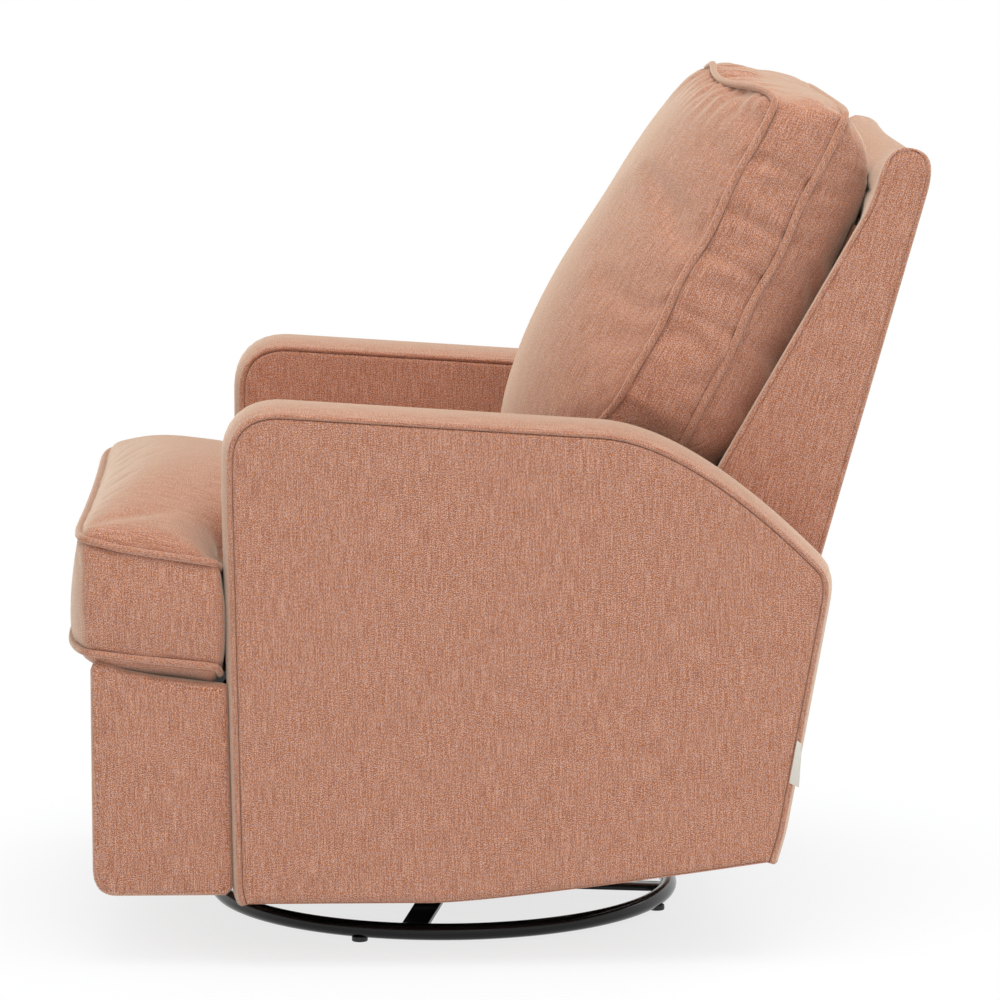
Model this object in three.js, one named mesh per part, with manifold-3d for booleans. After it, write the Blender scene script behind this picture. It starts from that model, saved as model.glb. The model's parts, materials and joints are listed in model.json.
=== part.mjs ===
// Swivel glider recliner: a fabric-covered armchair on a round ring base.
// It swivels on the base, glides on four hanging links, reclines at the back
// and opens a footrest on a scissor mechanism.
// Millimetres, +Z up, front towards -Y, the sitter's left towards +X.
// Places are measured from the swivel axis and the floor.
import * as THREE from "three";
import { mergeVertices } from "three/addons/utils/BufferGeometryUtils.js";
import Module from "manifold-3d";

const wasm = await Module();
wasm.setup();

// Clearances shared by all the pieces
const contactGap = 0.3;
const pinGap = 0.3;
const overrun = 4;

// Overall width and the arms: flat side panels with a crowned border band
const overallWidth = 750;
const armThickness = 105;
const armCrown = 14;
const armCrownRun = 46;
const armFrontY = -235;
const armBottomZ = 72;
const armTopZ = 609;
const armFrontRadius = 50;
const armShoulderY = 164;
const armShoulderZ = 586;
const armCrestY = 260;
const armCrestZ = 580;
const armHeelTopY = 402;
const armHeelTopZ = 438;
const armHeelY = 411;
const armHeelZ = 429;
const armHeelEndY = 406;
const armHeelEndZ = 402;
const armRearY = 355;
const armRearZ = 116;
const armFlatEndY = -20;
const armSweepY = 45;
const armPanelThickness = 18;
const armPadding = 26;
const armPanelRecess = 5;

// Small sewn tag in the rear seam of the left arm
const tagThickness = 1.2;
const tagLength = 50;
const tagWidth = 15;
const tagBottomZ = 200;
const tagOverhang = 8;

// Seat cushion: boxed, T-shaped, with an ear in front of each arm
const cushionFrontY = -408;
const cushionRearY = 165;
const cushionNotchGap = 4;
const cushionEarInset = 9;
const cushionSideGap = 10;
const cushionEdgeTopFrontZ = 480;
const cushionEdgeTopNotchZ = 454;
const cushionEdgeTopRearZ = 418;
const cushionRidgeFrontZ = 534;
const cushionRidgeRearZ = 500;
const cushionEdgeBottomFrontZ = 347;
const cushionEdgeBottomRearZ = 289;
const cushionBelly = 18;
const cushionBoxingBulge = 5;
const cushionCornerRadius = 10;
const cushionNotchStep = 2;
const cushionCrossPower = 3;
const cushionAlongPower = 8;
const cushionBellyPower = 6;
const cushionCornerPower = 12;
const earBulgeShare = 0.5;

// Footrest: padded block, hollow behind, closed under the cushion
const footrestFrontY = -392;
const footrestRearGap = 5;
const footrestTopGap = 4;
const footrestSideInset = 10;
const footrestTopRadius = 30;
const footrestBottomRadius = 20;
const footrestEdgeRound = 9;
const footrestFrontWall = 19;
const footrestTopWall = 15;
const footrestBottomWall = 16;
const footrestCheek = 24;
const footrestTopNotch = 18;
const footrestBoardThickness = 10;

// Footrest scissor: four links a side, folded behind the footrest
const linkLength = 185;
const linkWidth = 20;
const linkThickness = 4;
const linkGap = 1;
const linkPinRadius = 4;
const linkRunningGap = 3;
const linkFloorClearance = 1.72;
const linkClosedAngle = THREE.MathUtils.degToRad(75);
const footrestRiseAngle = THREE.MathUtils.degToRad(5);
const footrestPivotSetback = 57;
const footrestPivotDrop = 26;
const torqueTubeRadius = 8;
const footrestBracketWidth = 36;
const footrestBracketLength = 72;

// Seat frame: steel side plates and cross tubes, wooden rails and springs
const sideRailThickness = 29;
const sidePlateThickness = 4;
const sidePlateHeight = 24;
const sidePlateBottomZ = 238;
const sidePlateLugRadius = 13;
const seatRailWidth = 25;
const seatFrontRailBottomZ = 250;
const seatRearRailReach = 20;
const seatRailBottomZ = 240;
const crossTubeSize = 16;
const crossTubeBottomZ = 246;
const crossTubeWall = 2;
const springWire = 4;
const springHalfSwing = 22;
const springSpacing = 140;
const springWaves = 5;
const springCount = 3;

// Glider: hanging links between the swivel's stands and the seat's hangers
const glidePivotY = 110;
const glidePivotZ = 222;
const glideLinkLength = 118;
const glideLinkWidth = 24;
const glidePinRadius = 5;
const glideStandX = 148;
const glideLayerGap = 2;
const glidePlateThickness = 4;
const glideLugRadius = 14;
const glideStandFoot = 90;
const glideStandFlange = 30;
const hangerTopOverhang = 15;

// Swivel: pedestal on the base, ball race, upper plate and kingpin
const ringRadius = 251;
const ringTube = 19;
const ringLift = 3.5;
const baseTurn = THREE.MathUtils.degToRad(-9);
const footTurn = THREE.MathUtils.degToRad(68);
const footCount = 4;
const footRadius = 9;
const footSaddle = 5;
const crossBarWidth = 30;
const crossBarThickness = 6;
const pedestalBottomRadius = 88;
const pedestalTopRadius = 66;
const pedestalHeight = 38;
const pedestalWall = 3;
const raceOuterRadius = 60;
const raceInnerRadius = 36;
const raceHeight = 8;
const swivelPlateThickness = 5;
const swivelPlateLength = 210;
const kingpinRadius = 8;
const kingpinHeadRadius = 14;
const kingpinHeadHeight = 8;

// Back: upholstered wedge shell on wooden posts, hinged to the side plates
const backPivotY = 250;
const backPivotZ = 305;
const backPivotPinRadius = 6;
const backLugRadius = 16;
const backSideGap = 5;
const backCheek = 18;
const backRearWall = 14;
const backTopWall = 24;
const backRoundness = 5;
const backTopFrontY = 492;
const backTopZ = 890;
const backTopRearY = 531;
const backRearTopZ = 850;
const backBandFrontY = 463;
const backBandFrontZ = 822;
const backWedgeY = 305;
const backWedgeZ = 545;
const backLowFrontY = 240;
const backLowFrontZ = 430;
const backKneeY = 298;
const backKneeZ = 330;
const backBottomFrontY = 338;
const backBottomRearY = 361;
const backBottomZ = 240;
const backTopRadius = 14;
const backPostThickness = 18;
const backPostInset = 7;
const backPostFootZ = 285;
const backTopRailHeight = 60;
const backTopRailThickness = 18;
const backBracketThickness = 4;
const webbingWidth = 55;
const webbingThickness = 2.5;

// Back cushion: boxed, leaning on the webbing, heavily crowned in front
const backCushionY = 225;
const backCushionZ = 585;
const backCushionLean = THREE.MathUtils.degToRad(26);
const backCushionLength = 397;
const backCushionSideInset = 10;
const backCushionBoxing = 86;
const backCushionTopBoxing = 66;
const backCushionCrown = 108;
const backCushionRearCrown = 75;
const backCushionDroop = 105;
const backCushionSideBulge = 5;
const backCushionTopSlant = 18;
const backCushionCrossPower = 2.5;
const backCushionRearCrossPower = 4;
const backCushionRearAlongPower = 6;
const backCushionDroopPower = 1.5;
const rearDroopShare = 0.55;
const frontCrownShares = [0.62, 0.86, 0.97, 1, 0.97, 0.9, 0.82, 0.79, 0.72, 0.58, 0.42];
const webbingPlaceShares = [0.36, 0.68];

// Rear apron between the arms, below the back
const apronThickness = 10;
const apronTopZ = 228;
const apronBottomZ = 122;
const apronInset = 4;

// Release pull between the cushion and the right arm
const pullThickness = 4;
const pullGroove = 6;
const pullY = -60;
const pullTongueWidth = 18;
const pullTongueBottomZ = 270;
const pullHandleBottomZ = 436;
const pullHandleTopZ = 504;
const pullHandleWidth = 42;
const pullFingerWidth = 24;
const pullFingerHeight = 30;
const pullFingerBottomZ = 458;
const pullCornerRadius = 8;

// Faceting: how many straight steps stand for each round form
const roundSteps = 16;
const pinSteps = 12;
const cornerSteps = 5;
const edgeSteps = 2;
const crownSteps = 4;
const ringSteps = 40;
const ringSectionSteps = 10;
const springPointsPerWave = 4;
const springStepsPerWave = 8;
const cushionColumns = 16;
const cushionRows = 20;
const cushionEarRows = 7;
const backCushionRows = 16;
const boxingRows = 4;

// Heights and places that follow from the sizes above
const armInnerX = overallWidth / 2 - armThickness;
const armReachY = armFrontY - armCrown;
const cushionNotchY = armReachY - cushionNotchGap;
const cushionEarHalfWidth = overallWidth / 2 - cushionEarInset;
const cushionHalfWidth = armInnerX - cushionSideGap;
const footrestRearY = armReachY - footrestRearGap;
const footrestHalfWidth = overallWidth / 2 - footrestSideInset;
const footrestTopFrontZ = deckZ(footrestFrontY) - footrestTopGap;
const footrestTopRearZ = deckZ(footrestRearY) - footrestTopGap;
const footrestPivotY = footrestFrontY + footrestPivotSetback;
const footrestPivotZ = footrestTopFrontZ - footrestPivotDrop;
const ringCentreZ = ringLift + ringTube / 2;
const crossBarZ = ringCentreZ - crossBarThickness / 2;
const pedestalZ = ringCentreZ + crossBarThickness / 2 + contactGap;
const raceZ = pedestalZ + pedestalHeight + contactGap;
const swivelPlateZ = raceZ + raceHeight + contactGap;
const standZ = swivelPlateZ + swivelPlateThickness + contactGap;
const glideLowerZ = glidePivotZ - glideLinkLength;
const glideLinkX = glideStandX + glidePlateThickness + glideLayerGap;
const hangerX = glideLinkX + glidePlateThickness + glideLayerGap;
const hangerTopHalfLength = glidePivotY + hangerTopOverhang;
const railOuterX = armInnerX - contactGap;
const railInnerX = railOuterX - sideRailThickness;
const sidePlateX = railInnerX - contactGap - sidePlateThickness;
const outerLinkX = sidePlateX - linkGap - linkThickness;
const innerLinkX = outerLinkX - linkGap - linkThickness;
const footrestBracketX = innerLinkX - linkGap - linkThickness;
const backHalfWidth = armInnerX - backSideGap;
const backPostX = backHalfWidth - backCheek - contactGap;
const backRailEnd = backPostX - backPostThickness - contactGap;
const backCushionHalfWidth = backHalfWidth - backCushionSideInset;
const seatRearRailY = cushionRearY + seatRearRailReach;

// Unit directions of the footrest's travel and of the back cushion's lean, in the side view
const travel = new THREE.Vector2(-Math.cos(footrestRiseAngle), Math.sin(footrestRiseAngle));
const rise = new THREE.Vector2(Math.sin(footrestRiseAngle), Math.cos(footrestRiseAngle));
const leanUp = new THREE.Vector2(Math.sin(backCushionLean), Math.cos(backCushionLean));
const leanOut = new THREE.Vector2(-Math.cos(backCushionLean), Math.sin(backCushionLean));

// Top of the seat's deck, which follows the cushion's sloping underside
function deckZ(y) {
  const share = (y - cushionFrontY) / (cushionRearY - cushionFrontY);
  const edge = THREE.MathUtils.lerp(cushionEdgeBottomFrontZ, cushionEdgeBottomRearZ, share);
  return edge - cushionBelly - contactGap;
}

// Scissor pivot in the side view: shares of the folded links' reach along and across the travel
function scissorPoint(alongShare, acrossShare) {
  const start = new THREE.Vector2(footrestPivotY, footrestPivotZ);
  const along = linkLength * Math.cos(linkClosedAngle);
  const across = linkLength * Math.sin(linkClosedAngle);
  start.addScaledVector(travel, along * (alongShare - 2));
  return start.addScaledVector(rise, across * acrossShare);
}

const drivePivot = scissorPoint(0, 0);
const seatFrontRailY = drivePivot.x + linkWidth / 2 + linkRunningGap;

// The footrest's floor lies under the lowest end of the folded links
const lowestLinkEnd = scissorPoint(0, -1);
const footrestFloorZ = lowestLinkEnd.y - linkWidth / 2 - linkFloorClearance;
const footrestBottomZ = footrestFloorZ - footrestBottomWall;

// Solids: joining and cutting closed geometries

function solidOf(geometry) {
  const bare = geometry.clone();
  bare.deleteAttribute("normal");
  bare.deleteAttribute("uv");
  const merged = mergeVertices(bare);
  return new wasm.Manifold(
    new wasm.Mesh({
      numProp: 3,
      vertProperties: merged.attributes.position.array,
      triVerts: new Uint32Array(merged.index.array),
    }),
  );
}

function geometryOf(solid) {
  const mesh = solid.getMesh();
  const geometry = new THREE.BufferGeometry();
  geometry.setAttribute("position", new THREE.BufferAttribute(mesh.vertProperties, 3));
  geometry.setIndex(new THREE.BufferAttribute(mesh.triVerts, 1));
  return geometry;
}

function cut(body, ...tools) {
  return geometryOf(tools.reduce((left, tool) => left.subtract(solidOf(tool)), solidOf(body)));
}

function join(...bodies) {
  return geometryOf(bodies.map(solidOf).reduce((sum, body) => sum.add(body)));
}

function cutAbove(body, keep) {
  return geometryOf(solidOf(body).intersect(solidOf(keep)));
}

// Plain forms. A side form is drawn in the side view (y, z) and runs from x0 to x1.

const sideToWorld = new THREE.Matrix4().makeBasis(
  new THREE.Vector3(0, 1, 0),
  new THREE.Vector3(0, 0, 1),
  new THREE.Vector3(1, 0, 0),
);

function sideForm(shape, x0, x1, round = 0, steps = cornerSteps) {
  const geometry = new THREE.ExtrudeGeometry(shape, {
    depth: x1 - x0 - 2 * round,
    curveSegments: steps,
    bevelEnabled: round > 0,
    bevelThickness: round,
    bevelSize: round,
    bevelOffset: -round,
    bevelSegments: edgeSteps,
  });
  return geometry.translate(0, 0, x0 + round).applyMatrix4(sideToWorld);
}

function polygon(points) {
  return new THREE.Shape(points.map(([y, z]) => new THREE.Vector2(y, z)));
}

function disc(y, z, radius) {
  return new THREE.Shape().absarc(y, z, radius, 0, 2 * Math.PI, false);
}

function block(x0, x1, y0, y1, z0, z1) {
  const geometry = new THREE.BoxGeometry(x1 - x0, y1 - y0, z1 - z0);
  return geometry.translate((x0 + x1) / 2, (y0 + y1) / 2, (z0 + z1) / 2);
}

function pinAlongX(y, z, radius, x0, x1) {
  const geometry = new THREE.CylinderGeometry(radius, radius, x1 - x0, pinSteps);
  return geometry.rotateZ(Math.PI / 2).translate((x0 + x1) / 2, y, z);
}

function pillar(radius, z0, z1) {
  const geometry = new THREE.CylinderGeometry(radius, radius, z1 - z0, roundSteps);
  return geometry.rotateX(Math.PI / 2).translate(0, 0, (z0 + z1) / 2);
}

function turned(profile) {
  const points = profile.map(([radius, z]) => new THREE.Vector2(radius, z));
  return new THREE.LatheGeometry([...points, points[0]], roundSteps).rotateX(Math.PI / 2);
}

// A flat bar with round ends between two places in the side view
function barBetween(from, to, width, x0, x1, holes = [], holeRadius = 0) {
  const along = new THREE.Vector2().subVectors(to, from);
  const heading = Math.atan2(along.y, along.x);
  const quarter = Math.PI / 2;
  const shape = new THREE.Shape();
  shape.absarc(from.x, from.y, width / 2, heading + quarter, heading - quarter, false);
  shape.absarc(to.x, to.y, width / 2, heading - quarter, heading + quarter, false);
  for (const hole of holes) shape.holes.push(disc(hole.x, hole.y, holeRadius));
  return sideForm(shape, x0, x1, 0, pinSteps / 2);
}

// Moves each point of a closed outline inwards by a distance
function insetOutline(points, distance) {
  const count = points.length;
  const inward = (a, b) => new THREE.Vector2(a.y - b.y, b.x - a.x).normalize();
  return points.map((point, i) => {
    const before = inward(points[(i + count - 1) % count], point);
    const after = inward(point, points[(i + 1) % count]);
    const share = 1 / (1 + before.dot(after));
    return before.add(after).multiplyScalar(distance * share).add(point);
  });
}

// Value at a place from 0 to 1 along a list of shares
function alongShares(shares, place) {
  const position = THREE.MathUtils.clamp(place, 0, 1) * (shares.length - 1);
  const index = Math.min(Math.floor(position), shares.length - 2);
  return THREE.MathUtils.lerp(shares[index], shares[index + 1], position - index);
}

// A soft body: the surface of a box from -1 to 1 each way, with every point placed by a rule
function softBody(countU, countV, countW, place) {
  const geometry = new THREE.BoxGeometry(2, 2, 2, countU, countV, countW);
  const position = geometry.attributes.position;
  const point = new THREE.Vector3();
  for (let i = 0; i < position.count; i++) {
    point.fromBufferAttribute(position, i);
    place(point);
    position.setXYZ(i, point.x, point.y, point.z);
  }
  return geometry;
}

const flatness = (value, power) => 1 - Math.abs(value) ** power;

// Materials

const upholstery = { color: 0xc08a70, roughness: 0.92, metalness: 0 };
const upholsteryShade = { color: 0xb07a62, roughness: 0.92, metalness: 0 };
const blackEnamel = { color: 0x0d0d0e, roughness: 0.25, metalness: 0.6 };
const blackPlate = { color: 0x1b1c1e, roughness: 0.5, metalness: 0.6 };
const zincSteel = { color: 0x9a9da0, roughness: 0.4, metalness: 0.9 };
const springSteel = { color: 0x55585c, roughness: 0.45, metalness: 0.9 };
const plywood = { color: 0xc7a273, roughness: 0.75, metalness: 0 };
const blackPlastic = { color: 0x161617, roughness: 0.5, metalness: 0 };
const webbingCloth = { color: 0x3b3532, roughness: 0.95, metalness: 0 };
const tagCloth = { color: 0xd9d3c8, roughness: 0.9, metalness: 0 };

const recliner = new THREE.Group();

function addPiece(name, geometry, finish, sign = 1) {
  const mesh = new THREE.Mesh(geometry, new THREE.MeshStandardMaterial(finish));
  mesh.name = name;
  mesh.scale.x = sign;
  recliner.add(mesh);
}

function addPair(name, geometry, finish) {
  addPiece(name + "_left", geometry, finish);
  addPiece(name + "_right", geometry.clone(), finish, -1);
}

// Base: ring tube, cross bars and glides

function ringAt(tube) {
  const torus = new THREE.TorusGeometry(ringRadius, tube / 2, ringSectionSteps, ringSteps);
  return torus.translate(0, 0, ringCentreZ);
}

function makeBase() {
  addPiece("base_ring", ringAt(ringTube), blackEnamel);
  const bar = (turn) =>
    block(
      -ringRadius,
      ringRadius,
      -crossBarWidth / 2,
      crossBarWidth / 2,
      crossBarZ,
      crossBarZ + crossBarThickness,
    ).rotateZ(baseTurn + turn);
  const cross = join(bar(0), bar(Math.PI / 2));
  addPiece("base_cross", cut(cross, ringAt(ringTube + 2 * contactGap)), blackEnamel);
  for (let i = 0; i < footCount; i++) {
    const foot = pillar(footRadius, 0, ringLift + footSaddle).translate(ringRadius, 0, 0);
    foot.rotateZ(footTurn + (i * 2 * Math.PI) / footCount);
    addPiece(`glide_foot_${i + 1}`, cut(foot, ringAt(ringTube + 2 * contactGap)), blackPlastic);
  }
}

// Swivel: pressed pedestal, ball race, kingpin and upper plate

function makeSwivel() {
  const shaftHole = kingpinRadius + pinGap;
  const roof = pedestalZ + pedestalHeight;
  const pedestal = turned([
    [pedestalBottomRadius, pedestalZ],
    [pedestalTopRadius, roof],
    [shaftHole, roof],
    [shaftHole, roof - pedestalWall],
    [pedestalTopRadius - pedestalWall, roof - pedestalWall],
    [pedestalBottomRadius - pedestalWall, pedestalZ],
  ]);
  addPiece("swivel_pedestal", pedestal, blackPlate);
  const race = turned([
    [raceInnerRadius, raceZ],
    [raceOuterRadius, raceZ],
    [raceOuterRadius, raceZ + raceHeight],
    [raceInnerRadius, raceZ + raceHeight],
  ]);
  addPiece("ball_race", race, zincSteel);
  const half = swivelPlateLength / 2;
  const halfWidth = glideStandX + glidePlateThickness;
  const plate = block(
    -halfWidth,
    halfWidth,
    -half,
    half,
    swivelPlateZ,
    swivelPlateZ + swivelPlateThickness,
  );
  const bore = pillar(shaftHole, swivelPlateZ - overrun, standZ + overrun);
  addPiece("upper_swivel_plate", cut(plate, bore), blackPlate);
  const nutZ = roof - pedestalWall - contactGap;
  const kingpin = join(
    pillar(kingpinRadius, nutZ - kingpinHeadHeight, standZ + kingpinHeadHeight),
    pillar(kingpinHeadRadius, standZ, standZ + kingpinHeadHeight),
    pillar(kingpinHeadRadius, nutZ - kingpinHeadHeight, nutZ),
  );
  addPiece("kingpin", kingpin, zincSteel);
}

// Glider: stands on the swivel plate and four hanging links

function makeGlider() {
  const top = glidePivotZ + glideLugRadius;
  const reach = glidePivotY + glideLugRadius;
  const standShape = polygon([
    [-glideStandFoot, standZ],
    [glideStandFoot, standZ],
    [reach, glidePivotZ],
    [reach - glideLugRadius / 2, top],
    [-reach + glideLugRadius / 2, top],
    [-reach, glidePivotZ],
  ]);
  const places = [-glidePivotY, glidePivotY];
  for (const y of places) standShape.holes.push(disc(y, glidePivotZ, glidePinRadius + pinGap));
  const web = sideForm(standShape, glideStandX, glideStandX + glidePlateThickness, 0, pinSteps / 2);
  const flange = block(
    glideStandX - glideStandFlange,
    glideStandX,
    -glideStandFoot,
    glideStandFoot,
    standZ,
    standZ + glidePlateThickness,
  );
  addPair("glide_stand", join(web, flange), blackPlate);
  const ends = { front: -glidePivotY, rear: glidePivotY };
  for (const [end, y] of Object.entries(ends)) {
    const upper = new THREE.Vector2(y, glidePivotZ);
    const lower = new THREE.Vector2(y, glideLowerZ);
    const bar = barBetween(upper, lower, glideLinkWidth, glideLinkX, glideLinkX + glidePlateThickness);
    const upperPin = pinAlongX(y, glidePivotZ, glidePinRadius, glideStandX, glideLinkX + glidePlateThickness);
    const lowerPin = pinAlongX(y, glideLowerZ, glidePinRadius, glideLinkX, hangerX + glidePlateThickness);
    addPair(`glide_link_${end}`, join(bar, upperPin, lowerPin), zincSteel);
  }
}

// Seat frame: hangers, cross tubes, side plates, rails and springs

function makeSteelFrame() {
  const low = glideLowerZ - glideLugRadius;
  const reach = glidePivotY + glideLugRadius;
  const top = crossTubeBottomZ - contactGap;
  const hangerShape = polygon([
    [-reach, low + glideLugRadius],
    [-reach + glideLugRadius, low],
    [reach - glideLugRadius, low],
    [reach, low + glideLugRadius],
    [hangerTopHalfLength, top],
    [-hangerTopHalfLength, top],
  ]);
  const places = [-glidePivotY, glidePivotY];
  for (const y of places) hangerShape.holes.push(disc(y, glideLowerZ, glidePinRadius + pinGap));
  const hanger = sideForm(hangerShape, hangerX, hangerX + glidePlateThickness, 0, pinSteps / 2);
  addPair("seat_hanger", hanger, blackPlate);
  const names = ["cross_tube_front", "cross_tube_rear"];
  names.forEach((name, i) => {
    const y0 = places[i] - crossTubeSize / 2;
    const y1 = y0 + crossTubeSize;
    const z1 = crossTubeBottomZ + crossTubeSize;
    const tubeEnd = sidePlateX - contactGap;
    const outside = block(-tubeEnd, tubeEnd, y0, y1, crossTubeBottomZ, z1);
    const bore = block(
      -sidePlateX,
      sidePlateX,
      y0 + crossTubeWall,
      y1 - crossTubeWall,
      crossTubeBottomZ + crossTubeWall,
      z1 - crossTubeWall,
    );
    addPiece(name, cut(outside, bore), blackPlate);
  });
}

function makeSidePlates() {
  const x1 = sidePlateX + sidePlateThickness;
  const middle = sidePlateBottomZ + sidePlateHeight / 2;
  const frontBend = new THREE.Vector2(drivePivot.x + sidePlateHeight, middle);
  const rearBend = new THREE.Vector2(backPivotY - 2 * backLugRadius, middle);
  const back = new THREE.Vector2(backPivotY, backPivotZ);
  const plate = join(
    barBetween(frontBend, rearBend, sidePlateHeight, sidePlateX, x1),
    barBetween(drivePivot, frontBend, 2 * sidePlateLugRadius, sidePlateX, x1),
    barBetween(rearBend, back, 2 * backLugRadius, sidePlateX, x1),
  );
  const drilled = cut(
    plate,
    pinAlongX(...drivePivot, linkPinRadius + pinGap, sidePlateX - overrun, x1 + overrun),
    pinAlongX(...back, backPivotPinRadius + pinGap, sidePlateX - overrun, x1 + overrun),
  );
  addPair("side_plate", drilled, blackPlate);
}

function makeWoodFrame() {
  const side = polygon([
    [seatFrontRailY, seatRailBottomZ],
    [seatRearRailY, seatRailBottomZ],
    [seatRearRailY, deckZ(seatRearRailY)],
    [seatFrontRailY, deckZ(seatFrontRailY)],
  ]);
  const rail = sideForm(side, railInnerX, railOuterX);
  const groove = block(
    railOuterX - pullGroove,
    railOuterX + overrun,
    pullY - pullTongueWidth / 2 - contactGap,
    pullY + pullTongueWidth / 2 + contactGap,
    seatRailBottomZ - overrun,
    deckZ(seatFrontRailY),
  );
  addPair("seat_side_rail", cut(rail, groove), plywood);
  const halfSpan = sidePlateX - contactGap;
  const front = polygon([
    [seatFrontRailY, seatFrontRailBottomZ],
    [seatFrontRailY + seatRailWidth, seatFrontRailBottomZ],
    [seatFrontRailY + seatRailWidth, deckZ(seatFrontRailY + seatRailWidth)],
    [seatFrontRailY, deckZ(seatFrontRailY)],
  ]);
  addPiece("seat_front_rail", sideForm(front, -halfSpan, halfSpan), plywood);
  const rear = polygon([
    [seatRearRailY - seatRailWidth, seatRailBottomZ],
    [seatRearRailY, seatRailBottomZ],
    [seatRearRailY, deckZ(seatRearRailY)],
    [seatRearRailY - seatRailWidth, deckZ(seatRearRailY - seatRailWidth)],
  ]);
  addPiece("seat_rear_rail", sideForm(rear, -halfSpan, halfSpan), plywood);
}

function springRun(x) {
  const y0 = seatFrontRailY + seatRailWidth + springWire / 2 + contactGap;
  const y1 = seatRearRailY - seatRailWidth - springWire / 2 - contactGap;
  const count = springPointsPerWave * springWaves;
  const points = [];
  for (let i = 0; i <= count; i++) {
    const y = THREE.MathUtils.lerp(y0, y1, i / count);
    const swing = springHalfSwing * Math.sin((i / count) * springWaves * 2 * Math.PI);
    points.push(new THREE.Vector3(x + swing, y, deckZ(y) - springWire / 2));
  }
  return new THREE.CatmullRomCurve3(points);
}

function makeSprings() {
  const section = new THREE.Shape().absarc(0, 0, springWire / 2, 0, 2 * Math.PI, false);
  for (let i = 0; i < springCount; i++) {
    const wire = new THREE.ExtrudeGeometry(section, {
      steps: springStepsPerWave * springWaves,
      curveSegments: cornerSteps,
      extrudePath: springRun((i - (springCount - 1) / 2) * springSpacing),
    });
    addPiece(`seat_spring_${i + 1}`, wire, springSteel);
  }
}

// Footrest: torque tube, scissor links, brackets, board and padded cover

function makeScissor() {
  const layer = (x) => [x, x + linkThickness];
  const hole = linkPinRadius + pinGap;
  const [outer0, outer1] = layer(outerLinkX);
  const [inner0, inner1] = layer(innerLinkX);
  const middleAC = scissorPoint(0.5, -0.5);
  const middleCD = scissorPoint(1.5, -0.5);
  const kneeAC = scissorPoint(1, -1);
  const kneeBD = scissorPoint(1, 0);
  const footrestPin = scissorPoint(2, 0);
  const linkA = barBetween(drivePivot, kneeAC, linkWidth, outer0, outer1, [middleAC, kneeAC], hole);
  const driveStub = pinAlongX(...drivePivot, linkPinRadius, outer0, sidePlateX + sidePlateThickness);
  addPair("link_a", join(linkA, driveStub), zincSteel);
  const linkB = barBetween(lowestLinkEnd, kneeBD, linkWidth, inner0, inner1, [kneeBD], hole);
  const crossPin = pinAlongX(...middleAC, linkPinRadius, inner0, outer1);
  addPair("link_b", join(linkB, crossPin), zincSteel);
  const linkC = barBetween(kneeAC, footrestPin, linkWidth, inner0, inner1);
  const kneePin = pinAlongX(...kneeAC, linkPinRadius, inner0, outer1);
  const farCrossPin = pinAlongX(...middleCD, linkPinRadius, inner0, outer1);
  const endPin = pinAlongX(...footrestPin, linkPinRadius, footrestBracketX, inner1);
  addPair("link_c", join(linkC, kneePin, farCrossPin, endPin), zincSteel);
  const linkD = barBetween(kneeBD, scissorPoint(2, -1), linkWidth, outer0, outer1, [middleCD], hole);
  const kneeStub = pinAlongX(...kneeBD, linkPinRadius, inner0, outer1);
  addPair("link_d", join(linkD, kneeStub), zincSteel);
  const tubeEnd = outer0 - contactGap;
  const tube = pinAlongX(...drivePivot, torqueTubeRadius, -tubeEnd, tubeEnd);
  addPiece("torque_tube", tube, blackPlate);
}

function footrestOutline() {
  const shape = new THREE.Shape();
  const frontTopY = footrestFrontY + footrestTopRadius;
  shape.moveTo(footrestRearY, footrestBottomZ);
  shape.lineTo(footrestRearY, footrestTopRearZ);
  shape.lineTo(frontTopY, footrestTopFrontZ);
  shape.quadraticCurveTo(
    footrestFrontY,
    footrestTopFrontZ,
    footrestFrontY,
    footrestTopFrontZ - footrestTopRadius,
  );
  shape.lineTo(footrestFrontY, footrestBottomZ + footrestBottomRadius);
  shape.quadraticCurveTo(
    footrestFrontY,
    footrestBottomZ,
    footrestFrontY + footrestBottomRadius,
    footrestBottomZ,
  );
  return shape;
}

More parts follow.
